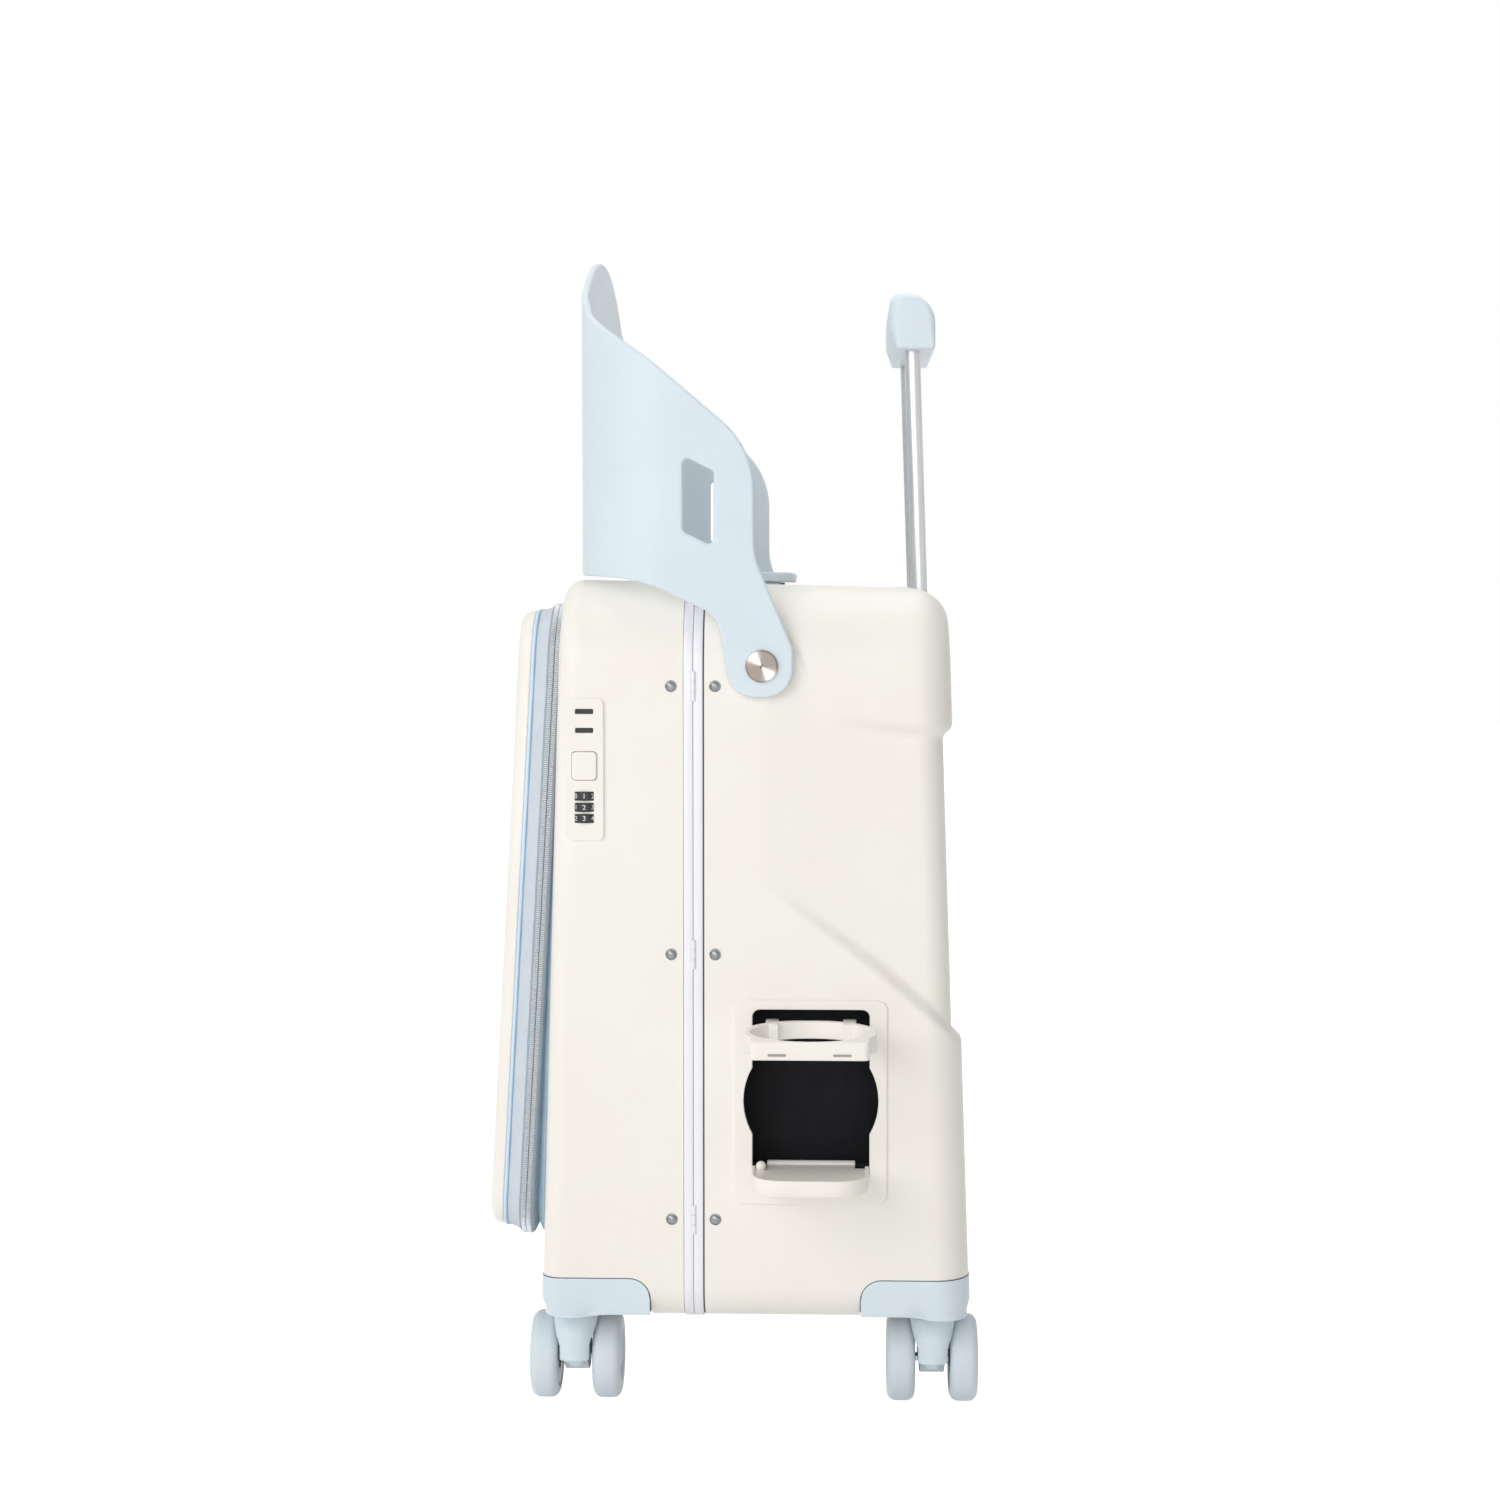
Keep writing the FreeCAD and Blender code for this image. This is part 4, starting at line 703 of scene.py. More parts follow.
# Pivot bolts: a turned disc with a rounded rim and a centre mark, on a shank with a backing plate inside
head = [(0.02, 0.6), (0.8, 0.6), (0.85, bolt["rise"] - 0.4), (1.2, bolt["rise"]), (9.2, bolt["rise"])]
head += quarter((bolt["radius"] - bolt["rim"], bolt["rise"] - bolt["rim"]), bolt["rim"], 90, 0)
head += [(bolt["radius"], 0.0), (5.0, 0.0), (5.0, -14.0), (13.0, -14.0), (13.0, -18.0), (0.02, -18.0)]
shapes = [lathe(head, (bolt["x"], s * bolt["start"], bolt["z"]), (0, s, 0), 72) for s in (-1, 1)]
build("pivotBolts", *gather(shapes), "pivot", "rear_case", "pivot_steel", ("guard_pivot_bolts",))
print("guard")


# Trolley handle
def tubePoint(z, side):
    return np.array((handle["x"] + (case["seatRear"] - z) * handle["lean"], side * handle["halfGap"], z))


tubeAxis = tubePoint(100, 0) - tubePoint(700, 0)
tubeAxis /= np.linalg.norm(tubeAxis)
tubeBore, tubeEnd = handle["radius"] - handle["wall"], handle["length"]
tubeProfile = [(tubeBore, 0.0), (handle["radius"], 0.0), (handle["radius"], tubeEnd - 0.4),
               (handle["radius"] - 0.4, tubeEnd), (tubeBore, tubeEnd)]
shapes = [lathe(tubeProfile, tubePoint(handle["top"], s), tubeAxis, 56) for s in (-1, 1)]
build("handleTubes", *gather(shapes), "chrome", "handle", "bright_metal", ("handle_tubes",))

# Grip: a section with a chamfered lower front and a large round at its upper rear; each end is closed by a
# cap whose radius grows from the underside up and towards the front
grip = {"half": 83.0,
        "section": [(138.0, 732.0), (165.0, 732.0), (165.0, 771.5), (133.0, 771.5), (133.0, 745.0)],
        "rounds": [2.5, 2.5, 21.0, 8.0, 12.0], "cap": (2.2, 2.8, 2.4), "riseFrom": 735.0, "riseSoft": 10.0,
        "aheadFrom": 150.0, "aheadSoft": 14.0}


def gripPiece():
    section = rounded(grip["section"], grip["rounds"], True, 6.0)
    least, rise, ahead = grip["cap"]
    ahead = ahead * smooth((grip["aheadFrom"] - section[:, 0]) / grip["aheadSoft"])
    cap = least + smooth((section[:, 1] - grip["riseFrom"]) / grip["riseSoft"]) * (rise + ahead)
    levels = []
    for side in (-1, 1):
        turns = np.radians(np.linspace(0, 90, 9))
        for t in (turns if side < 0 else turns[::-1]):
            loop = shrunk(section, (cap * (1 - math.sin(t)))[:, None])
            levels.append(place("y", loop[:, 0], loop[:, 1], side * (grip["half"] - cap * (1 - math.cos(t)))))
    build("handleGrip", *capped(levels), "blue", "handle", "blue_plastic", ("handle_grip",), sharp=50)


gripPiece()
button = {"middle": (144.52, 0.0), "half": (6.0, 22.0), "corner": 4.2, "low": 765.5, "high": 773.1,
          "rim": 0.9}
platePiece("releaseButton", "z", panel(button["middle"], button["half"], button["corner"]), [], button["low"],
           button["high"], button["rim"], "blue", "release_button", "blue_plastic", ("release_button",))

# Bezel round the tubes, on the seat's rear: a flat plate cut across, then laid over the seat's rear edge
bezel = {"half": (13.0, 82.0), "corner": 10.4, "low": -2.4, "high": 0.5, "rim": 0.4, "play": 0.2, "cut": 1.5,
         "edgeIn": 1.0, "edgeReach": 25.5}


def onRear(p):
    past = p[:, 0] - case["rearTop"] + case["rearTopRound"] + bezel["edgeIn"]
    past = np.clip(past, 0, bezel["edgeReach"])
    drop = case["rearTopRound"] - np.sqrt(case["rearTopRound"] ** 2 - past ** 2)
    return np.stack((p[:, 0], p[:, 1], p[:, 2] + seatZ(p[:, 0]) - drop), -1)


def bezelPiece():
    outline = panel((handle["x"], 0.0), bezel["half"], bezel["corner"])
    bore = handle["radius"] + bezel["play"]
    holes = [circle((handle["x"], s * handle["halfGap"]), bore, 40) for s in (-1, 1)]
    points, faces = plate(outline, holes, bezel["low"], bezel["high"], bezel["rim"])
    start = handle["x"] - bezel["half"][0] + 2.0
    points, faces = sliced(points, faces, np.arange(start, handle["x"] + bezel["half"][0], bezel["cut"]))
    build("handleBezel", onRear(points), faces, "shell", "rear_case", "shell", ("handle_bezel",))


bezelPiece()


# Carry handle: a low pad with rounded rims on two legs, leaned with the seat
def onSeat(p):
    slope = (case["seatRear"] - case["top"]) / (case["rearTop"] - case["frontTop"])
    x, y, z = p.T
    return np.stack((carry["x"] + x - slope * z, y, seatZ(carry["x"]) + z + slope * x), -1)


def carryPieces():
    pad = panel((0, 0), carry["half"], carry["corner"])
    shapes, lugs = [flatPlate("z", pad, [], carry["low"], carry["high"], carry["rim"])], []
    for s in (-1, 1):
        spot = (0, s * carry["legY"])
        leg = panel(spot, carry["leg"], carry["legRound"])
        shapes.append(flatPlate("z", leg, [], carry["legLow"], carry["legHigh"], 0.4))
        slot = panel(spot, [half + carry["play"] for half in carry["leg"]], carry["legRound"])
        lugs.append(flatPlate("z", panel(spot, carry["lug"], 2.0), [slot], 0, carry["lugHigh"], 0.5))
    for name, body, node, made in (("carryHandle", "carry_handle", "carry_handle", shapes),
                                   ("carryHandleLugs", "rear_case", "carry_handle_lugs", lugs)):
        points, faces = gather(made)
        build(name, onSeat(points), faces, "blue", body, "blue_plastic", (node,))


carryPieces()


# Cup holder: face plate, ring and tray; the pan stays as the frame has it
def panOutline():
    half, r, turn = pan["half"], pan["bulge"], pan["corner"]
    t = math.acos(half / r)
    inner, high, low = half - turn, pan["high"] - turn, pan["low"] + turn
    caps = {1: quarter((inner, high), turn, 0, 90) + quarter((-inner, high), turn, 90, 180),
            -1: quarter((-inner, low), turn, 180, 270) + quarter((inner, low), turn, 270, 360)}
    chain = []
    for sign in (1, -1):
        arc = np.linspace(-t, t, 13)
        chain.append(sign * r * np.stack((np.cos(arc), np.sin(arc)), -1) + (pan["x"], pan["bulgeZ"]))
        chain.append(np.array(caps[sign]) + (pan["x"], 0))
    return np.concatenate(chain)


cup = {"x": pan["x"], "plate": (27.5, 131.0, 148.0, 287.5), "plateY": (-187.0, -184.8), "ringY": -181.0,
       "ringLow": 262.0, "ringHigh": 274.0, "arm": 49.0, "armX": 26.0, "armHalf": 4.5, "slitX": 21.0,
       "bore": 39.0, "wall": 4.5, "flat": 1.5, "bar": 38.7, "trayY": -170.7, "trayZ": 171.4, "trayHalf": 38.7,
       "trayFront": -260.1, "trayBack": -184.1, "trayRound": 22.0, "trayArm": 30.0, "trayIn": 0.9, "lip": 2.4,
       "lipEnd": -213.0, "knob": (33.5, -191.0, 175.4), "knobR": 3.4, "plateRound": 7.0, "slit": (6.0, 0.85),
       "slitRise": 3.55, "trayFloor": (170.1, 172.7), "lipZ": (171.5, 180.7)}
platePiece("cupHolderPlate", "y", rounded(box2(*cup["plate"]), cup["plateRound"]), [panOutline()],
           *cup["plateY"], 0.8, "shell", "rear_case", "shell", ("cup_holder_plate",))


# The ring's plan: a round band with flats at its sides and back, and a straight bar in front with two slits,
# which are thin grey sheets set into the bar's face, painted shade in place of cut slots
def ringPiece():
    middle = np.array((cup["x"], cup["ringY"] - cup["arm"]))
    outer, bar, low, high = cup["bore"] + cup["wall"], cup["bar"], cup["ringLow"], cup["ringHigh"]
    full = outer + cup["flat"]
    start = math.asin(math.sqrt(full ** 2 - bar ** 2) / full)
    t = np.linspace(-start, math.pi + start, 121)[1:-1]
    back = np.clip(full * np.stack((np.cos(t), np.sin(t)), -1), -outer, outer)
    side = -full * math.sin(start)
    front = 0.3 - outer
    bow = rounded([(-bar, side), (-bar, front), (bar, front), (bar, side)], [0, 4.0, 4.0, 0], False)
    loop = np.concatenate((bow, back)) + middle
    shapes = [flatPlate("z", loop, [circle(middle, cup["bore"], 96)], low, high, 1.3)]
    slits = []
    for s in (-1, 1):
        x = cup["x"] + s * cup["armX"]
        arm = box2(middle[1] + outer * 0.62, cup["ringY"] + 6.0, low + 0.2, high - 0.2)
        arm = rounded(arm, [0.5, 5.7, 5.7, 0.5])
        shapes.append(flatPlate("x", arm, [], x - cup["armHalf"], x + cup["armHalf"], 0.9))
        # Painted shade: each slit is a grey sheet set into the bar's face, not a cut
        slit = panel((cup["x"] + s * cup["slitX"], low + cup["slitRise"]), cup["slit"], 0.8)
        slits.append(flatPlate("y", slit, [], middle[1] - outer + 0.08, middle[1] - outer + 0.8, 0.1))
    build("cupRing", *gather(shapes), "shell", "cup_ring", "shell", ("cup_ring",))
    build("cupRingPaintedSlotShade", *gather(slits), "slit", "cup_ring", "shell")


def trayPiece():
    x, half, front, bend = cup["x"], cup["trayHalf"], cup["trayFront"], cup["trayRound"]
    inset, arm, back, hinge = cup["trayIn"], cup["trayArm"], cup["trayBack"], cup["trayY"]
    inner = half - inset
    base = [(x - inner, front + inset), (x + inner, front + inset), (x + inner, back), (x + arm, back),
            (x + arm, hinge), (x - arm, hinge), (x - arm, back), (x - inner, back)]
    base = rounded(base, [bend - inset, bend - inset, 2.0, 1.5, 0, 0, 1.5, 2.0])
    shapes = [flatPlate("z", base, [], *cup["trayFloor"], 0.7)]
    chains = []
    for thick in (0.0, cup["lip"]):
        wall = half - thick
        turn = [(x - wall, cup["lipEnd"]), (x - wall, front + thick), (x + wall, front + thick),
                (x + wall, cup["lipEnd"])]
        chains.append(rounded(turn, [0, bend - thick, bend - thick, 0], False, 5.0))
    shapes.append(flatPlate("z", np.concatenate((chains[0], chains[1][::-1])), [], *cup["lipZ"], 0.8))
    barrel = [(2.1, -arm), (3.2, -arm), (3.6, 0.4 - arm), (3.6, arm - 0.4), (3.2, arm), (2.1, arm)]
    shapes.append(lathe(barrel, (x, hinge, cup["trayZ"]), (1, 0, 0), 32))
    knob = quarter((0.0, 0.0), cup["knobR"], 88, -88, 12)
    shapes.append(lathe(knob, (x - cup["knob"][0], *cup["knob"][1:]), (0, -1, 0), 32))
    build("cupTray", *gather(shapes), "shell", "cup_tray", "shell", ("cup_tray",))


ringPiece()
trayPiece()
print("handles and cup holder")


# Front pocket: drawn upright with x back from the zip's middle, then leaned out towards its foot; from the
# zip forwards it closes in by its taper
pocket = {"half": 166.0, "low": 115.0, "top": 553.0, "corner": 32.0, "lean": math.radians(3.25), "zip": 1.6,
          "band": 12.5, "piping": 2.2, "depth": 9.5, "edge": 8.0, "wall": 2.4, "taper": 5.0, "tape": 4.6,
          "tapeEnd": (1.9, 5.2)}
pocketBack = float(frontX(pocket["top"])) - pocket["zip"] * 1.6
pocketMiddle = (pocket["low"] + pocket["top"]) / 2
pipeX = -pocket["zip"] - pocket["band"] - pocket["piping"]


def leaned(p):
    p = np.asarray(p, float)
    c, s, z = math.cos(pocket["lean"]), math.sin(pocket["lean"]), p[..., 2] - pocket["top"]
    x = p[..., 0]
    return np.stack((pocketBack + x * c + z * s, p[..., 1], pocket["top"] - x * s + z * c), -1)


def leanedSheet(levels, wrapRows=False):
    points, faces = sheet(levels, True, wrapRows)
    return leaned(points), faces


def taperAt(x):
    return pocket["taper"] * min(max((-pocket["zip"] - x) / (pocket["band"] + pocket["piping"]), 0.0), 1.0)


def pocketLoop(step, arcStep):
    turn = pocket["corner"]
    return around(pocket["half"], pocket["low"], pocket["top"], turn, turn, step, arcStep)


# Lengths round the pocket, for laying cloth and teeth along it
def loopLength(base):
    runs = np.diff(np.vstack((base, base[:1])), axis=0)
    return np.concatenate(([0.0], np.cumsum(np.linalg.norm(runs, axis=1))))


# The cover: from its rim round the edge to the flat front, and back inside by its wall
def doorPiece():
    base, normal = pocketLoop(7.0, 2.5)
    base = base - pocket["taper"] * normal
    front = pipeX - pocket["depth"]
    turns = np.radians(np.linspace(0, 90, 12))
    sides = []
    for wall in (0.0, pocket["wall"]):
        edge = pocket["edge"] - wall
        section = [(wall, pipeX)] if wall else [(pocket["wall"] * 0.2, pipeX), (0.0, pipeX - 0.5)]
        section += [(wall + edge * (1 - math.cos(t)), front + wall + edge * (1 - math.sin(t))) for t in turns]
        levels = [place("x", *(base - inset * normal).T, x) for inset, x in section]
        y, z = levels[-1][:, 1], levels[-1][:, 2] - pocketMiddle
        levels += [place("x", y * k, pocketMiddle + z * k, front + wall) for k in np.linspace(1, 0, 14)[1:]]
        sides.append(levels)
    build("pocketCover", *leanedSheet(sides[1][::-1] + sides[0]), "shell", "pocket_door", "shell",
          ("pocket_door",), sharp=50)


# A strip of cloth round the pocket: from one line (inset, x) to another, with UVs in metres; on the case's
# side it ends at the front wall
def strip(name, lines, finish, body, slot, replaces=(), ripple=0.0):
    base, normal = pocketLoop(4.0, 2.0)
    length = loopLength(base)
    levels, uvs, width = [], [], 0.0
    for i, (inset, x) in enumerate(lines):
        if i:
            width += math.hypot(inset - lines[i - 1][0], x - lines[i - 1][1])
        wave = np.sin(length[:-1] * 0.13) * np.sin(length[:-1] * 0.041 + 1.3) * (0 < i < len(lines) - 1)
        ring = leaned(place("x", *(base - (inset + ripple * wave)[:, None] * normal).T, x))
        if body == "front_case":
            ring[:, 0] = np.minimum(ring[:, 0], frontX(ring[:, 2]) + 0.4)
        levels.append(np.vstack((ring, ring[:1])))
        uvs.append(np.stack((length, np.full(len(length), width)), -1) * 0.001)
    build(name, *sheet(levels, False), finish, body, slot, replaces, uv=np.array(uvs).reshape(-1, 2),
          sharp=60, close=False)


def bead(name, x, rise, half, finish):
    base, normal = pocketLoop(8.0, 2.5)
    levels = []
    for a in np.radians(np.arange(0, 360, 24)):
        inset = taperAt(x) + 0.5 - rise * math.cos(a)
        levels.append(place("x", *(base - inset * normal).T, x + half * math.sin(a)))
    build(name, *leanedSheet(levels, True), finish, "pocket_door", "fabric")


doorPiece()
bandStart, bandEnd = pipeX + 1.2, -pocket["tape"]
bandLines = [(0.25 + 0.6 * math.sin(math.pi * f) + taperAt(x), x)
             for f, x in zip(np.linspace(0, 1, 9), np.linspace(bandStart, bandEnd, 9))]
bandLines += [(2.4 + taperAt(bandEnd), bandEnd), (2.4 + taperAt(bandStart), bandStart)]
strip("pocketBand", bandLines, "fabric", "pocket_door", "fabric", ("pocket_band",), 0.2)
bead("pocketPiping", pipeX + 1.3, 0.95, 1.25, "piping")
# Painted shade: a thin darker-blue bead beside the piping stands in for its shadow line
bead("pocketPipingShade", pipeX + 2.85, 0.55, 0.4, "pipingEdge")
tapeLines = [pocket["tapeEnd"], (0.7, pocket["tape"]), (0.25, 3.0), (0.15, 0.5), (3.0, 0.4)]
strip("zipTapeDoor", [(inset, -x) for inset, x in tapeLines], "tape", "pocket_door", "zip")
strip("zipTapeCase", tapeLines, "tape", "front_case", "zip")


# Zip teeth: the turns of a coil as small ridges across each tape at an even pitch
coil = {"pitch": 1.3, "across": ((3.3, 0.7), (3.1, 1.0), (0.35, 1.0), (0.1, 0.75)),
        "ridge": ((-0.42, -0.3), (-0.42, 0.3), (-0.2, 0.6), (0.2, 0.6), (0.42, 0.3), (0.42, -0.3))}


def teeth(name, side, body, node):
    base, normal = pocketLoop(1.0, 1.0)
    length = loopLength(base)
    count = int(length[-1] / coil["pitch"])
    at = (np.arange(count) + (0.5 if side > 0 else 0.0)) * length[-1] / count
    closed = np.vstack((base, base[:1]))
    spots = np.stack([np.interp(at, length, closed[:, i]) for i in (0, 1)], -1)
    ways = np.stack([np.interp(at, length, np.vstack((normal, normal[:1]))[:, i]) for i in (0, 1)], -1)
    ways /= np.linalg.norm(ways, axis=1, keepdims=True)
    along = np.stack((ways[:, 1], -ways[:, 0]), -1)
    ridge, across = np.array(coil["ridge"]), coil["across"]
    points = np.empty((count, len(across), len(ridge), 3))
    for i, (reach, scale) in enumerate(across):
        flat = spots[:, None] + (ridge[:, :1] * scale) * along[:, None]
        flat = flat + (ridge[:, 1:] * scale) * ways[:, None]
        points[:, i] = place("x", flat[..., 0], flat[..., 1], side * reach)
    each = len(across) * len(ridge)
    faces = gridFaces(len(across), len(ridge), True).tolist()
    faces += [list(range(len(ridge))), list(range(each - len(ridge), each))]
    faces = [[i + k * each for i in face] for k in range(count) for face in faces]
    build(name, leaned(points.reshape(-1, 3)), faces, "teeth", body, "zip_metal", (node,))


teeth("zipTeethDoor", -1, "pocket_door", "zip_door_side")
teeth("zipTeethCase", 1, "front_case", "zip_case_side")


# Gusset: cloth from the zip back to the case's front wall, drawn in to a fold and out again to a flange, in a
# cloth darker than the band: partly its own tone, partly painted shade of the fold
fold = {"share": (0.0, 0.1, 0.2, 0.3, 0.42, 0.55, 0.66, 0.75, 0.87, 1.0),
        "tuck": (0.0, 4.6, 7.0, 6.4, 2.8, 0.2, -0.9, -1.3, -1.4, -1.3)}


def gussetPiece():
    base, normal = pocketLoop(4.0, 2.0)
    length = loopLength(base)
    inset, x = pocket["tapeEnd"]
    start = leaned(place("x", *(base - inset * normal).T, x))
    start[:, 0] = np.minimum(start[:, 0], frontX(start[:, 2]) + 0.3)
    drop = np.maximum(frontX(start[:, 2]) - start[:, 0] + 0.6, 0.2)
    amount = np.minimum(drop / 9.0, 1.0)
    levels, uvs = [], []
    for f, tuck in zip(fold["share"], fold["tuck"]):
        inset = (tuck + 0.3 * np.sin(length[:-1] * 0.11 + 2.0 * f) * math.sin(math.pi * f)) * amount
        y, z = start[:, 1] - inset * normal[:, 0], start[:, 2] - inset * normal[:, 1]
        p = np.stack((start[:, 0] + f * drop, y, z), -1)
        levels.append(np.vstack((p, p[:1])))
        uvs.append(np.stack((length, np.full(len(length), f * np.mean(drop))), -1) * 0.001)
    build("pocketGusset", *sheet(levels, False), "gusset", "front_case", "fabric", ("pocket_gusset",),
          uv=np.array(uvs).reshape(-1, 2), sharp=60, close=False)


gussetPiece()


# Zip sliders with their pulls on the top run
def sliderPiece():
    shapes = []
    top = pocket["top"] + 0.6
    for y in (-30.0, 30.0):
        slider = rounded([(-3.1, y - 4), (-0.1, y - 4), (0.2, y + 4), (-3.4, y + 4)], 0.9)
        pull = rounded(box2(-2.5, -0.7, y + 3, y + 24), 0.8)
        eye = rounded(box2(-2.0, -1.2, y + 18.5, y + 22.5), 0.3)
        bridge = rounded(box2(-2.2, -1.0, y - 3, y + 4.2), 0.5)
        shapes.append(flatPlate("z", slider, [], top + 0.2, top + 2.6, 0.5))
        shapes.append(flatPlate("z", pull, [eye], top + 1.2, top + 2.5, 0.3))
        shapes.append(flatPlate("z", bridge, [], top + 2.0, top + 3.0, 0.35))
    points, faces = gather(shapes)
    build("zipSliders", leaned(points), faces, "steel", "pocket_door", "zip_metal", ("zip_sliders",))


sliderPiece()
print("pocket")


# Lock: a plate with windows, a push button, and three dials with plain digits, before a dark housing
housing = {"slitHalf": 11.0, "slitZ": (462.0, 488.0), "slitY": (-184.6, -183.0), "middle": 444.0,
           "longer": 32.4, "halves": (12.6, 11.2), "wallY": (-183.4, -169.0), "backY": (-169.4, -168.0)}


def lockPieces():
    x, button = lock["x"], (lock["x"], lock["buttonZ"])
    holes = [panel((x, z), lock["slit"], 0.8) for z in lock["slits"]]
    holes.append(panel(button, [half + lock["play"] for half in lock["button"]], lock["buttonRound"]))
    holes += [panel((x, z), lock["window"], 0.6) for z in lock["dials"]]
    outline = panel((x, lock["middle"]), lock["half"], lock["round"])
    platePiece("lockPlate", "y", outline, holes, lock["face"], lock["back"], 0.55, "shell", "front_case",
               "shell", ("lock_plate",))
    side, longer = housing["slitHalf"], housing["longer"]
    backs = [flatPlate("y", box2(x - side, x + side, *housing["slitZ"]), [], *housing["slitY"], 0.2)]
    outer, inner = [panel((x, housing["middle"]), (half, longer + half), 2.0) for half in housing["halves"]]
    backs.append(flatPlate("y", outer, [inner], *housing["wallY"], 0.3))
    backs.append(flatPlate("y", outer, [], *housing["backY"], 0.5))
    build("lockInside", *gather(backs), "dark", "front_case", "dark_plastic")
    platePiece("lockButton", "y", panel(button, lock["button"], lock["buttonRound"]), [], *lock["buttonY"],
               0.9, "shell", "lock_button", "shell", ("lock_button",))


# One dial, with its ten digits laid round it
def dialPiece(number, z):
    r, half = lock["dialR"], lock["dialHalf"]
    profile = [(2.0, -half), (r - 0.5, -half)] + quarter((r - 0.5, -half + 0.5), 0.5, -90, 0, 4)
    profile += quarter((r - 0.5, half - 0.5), 0.5, 0, 90, 4) + [(2.0, half), (2.0, -half)]
    middle = (lock["x"], lock["dialY"], z)
    body = "lock_dial_%d" % number
    build("lockDial%d" % number, *lathe(profile, middle, (0, 0, 1), 80), "dial", body, "dial", (body,))
    shapes = []
    for digit in range(10):
        text = bpy.data.curves.new("digit", "FONT")
        text.body = str(digit)
        text.size = 4.6
        text.align_x, text.align_y = "CENTER", "CENTER"
        text.resolution_u = 3
        holder = bpy.data.objects.new("digit", text)
        bpy.context.scene.collection.objects.link(holder)
        bpy.context.view_layer.update()
        mesh = bpy.data.meshes.new_from_object(holder.evaluated_get(bpy.context.evaluated_depsgraph_get()))
        flat = np.array([v.co for v in mesh.vertices])
        angle = math.radians(-90 + 36 * (digit - number)) + flat[:, 0] / r
        reach = r + 0.06
        x, y = middle[0] + reach * np.cos(angle), middle[1] + reach * np.sin(angle)
        shapes.append((np.stack((x, y, z + flat[:, 1]), -1), [list(face.vertices) for face in mesh.polygons]))
        bpy.data.objects.remove(holder)
        bpy.data.curves.remove(text)
        bpy.data.meshes.remove(mesh)
    build("lockDigits%d" % number, *gather(shapes), "digit", body, "dial", close=False)


lockPieces()
for number, z in enumerate(lock["dials"], 1):
    dialPiece(number, z)

# Latches on the far side: base, keeper and lever
latch = {"heights": {"lower": 228.0, "upper": 408.0}, "half": 17.0, "pivot": (29.0, 189.5), "ear": 2.55,
         "earX": (26.8, 31.2), "baseX": (6.8, 40.8), "keeperX": (-20.8, -6.8), "keeperHalf": 10.2,
         "tip": -24.0, "leverHalf": 14.15, "face": 185.0, "earTop": 191.7, "bladeY": (187.3, 190.3),
         "pin": (1.1, 16.0)}


def latchPieces():
    bases, keepers = [], []
    half, face, lever = latch["half"], latch["face"], latch["leverHalf"]
    left, right = latch["earX"]
    ear = rounded(box2(left, right, face + 0.4, latch["earTop"]), [0.3, 0.3, 2.1, 2.1])
    thin, reach = latch["pin"]
    pin = [(0.02, -reach), (thin, -reach), (thin, reach), (0.02, reach)]
    barrel = [(1.15, -lever), (1.9, -lever), (2.2, 0.3 - lever), (2.2, lever - 0.3), (1.9, lever),
              (1.15, lever)]
    for name, z in latch["heights"].items():
        spot = (*latch["pivot"], z)
        base = rounded(box2(*latch["baseX"], z - half, z + half), 4.0)
        bases.append(flatPlate("y", base, [], face, face + 2.0, 0.6))
        for s in (-1, 1):
            low, high = sorted((z + s * half, z + s * (half - latch["ear"])))
            bases.append(flatPlate("z", ear, [], low, high, 0.4))
        bases.append(lathe(pin, spot, (0, 0, 1), 24))
        keeper = rounded(box2(*latch["keeperX"], z - latch["keeperHalf"], z + latch["keeperHalf"]), 2.5)
        keepers.append(flatPlate("y", keeper, [], face, face + 1.7, 0.5))
        blade = rounded(box2(latch["tip"], latch["pivot"][0], z - lever, z + lever), [5, 0.5, 0.5, 5])
        shapes = [flatPlate("y", blade, [], *latch["bladeY"], 1.0), lathe(barrel, spot, (0, 0, 1), 32)]
        node = "latch_lever_" + name
        build("latchLever" + name.capitalize(), *gather(shapes), "steel", node, "bright_metal", (node,))
    build("latchBases", *gather(bases), "frameBar", "rear_case", "frame_metal", ("latch_bases",))
    build("latchKeepers", *gather(keepers), "frameBar", "front_case", "frame_metal", ("latch_keepers",))


latchPieces()
print("lock and latches")

# Corner guards and casters
caster = {"frontX": -84.7, "rearX": 163.6, "y": 140.0, "trail": 12.0, "axleZ": 27.0, "wheelR": 30.0,
          "width": 19.5, "gap": 24.0, "shoulder": 6.2}


# In plan, x, y and the normal: along the side from its inner end, round the upright edge, then along the end
def cornerPlan(rear):
    sign = 1 if rear else -1
    footX = case["rearFoot"] if rear else case["frontFoot"]
    edge = case["rearEdge"] if rear else case["frontEdge"]
    turnX, turnY = footX - sign * edge, case["half"] - edge
    plan = [(x, case["half"], 0.0, 1.0) for x in np.linspace(footX - sign * corner["reachX"], turnX, 50)]
    plan += [(turnX + sign * edge * math.sin(t), turnY + edge * math.cos(t), sign * math.sin(t), math.cos(t))
             for t in np.radians(np.linspace(0, 90, 16))[1:]]
    plan += [(footX, y, sign, 0.0) for y in np.linspace(turnY, case["half"] - corner["reachY"], 34)[1:]]
    plan = np.array(plan)
    length = np.concatenate(([0], np.cumsum(np.linalg.norm(np.diff(plan[:, :2], axis=0), axis=1))))
    return plan, length


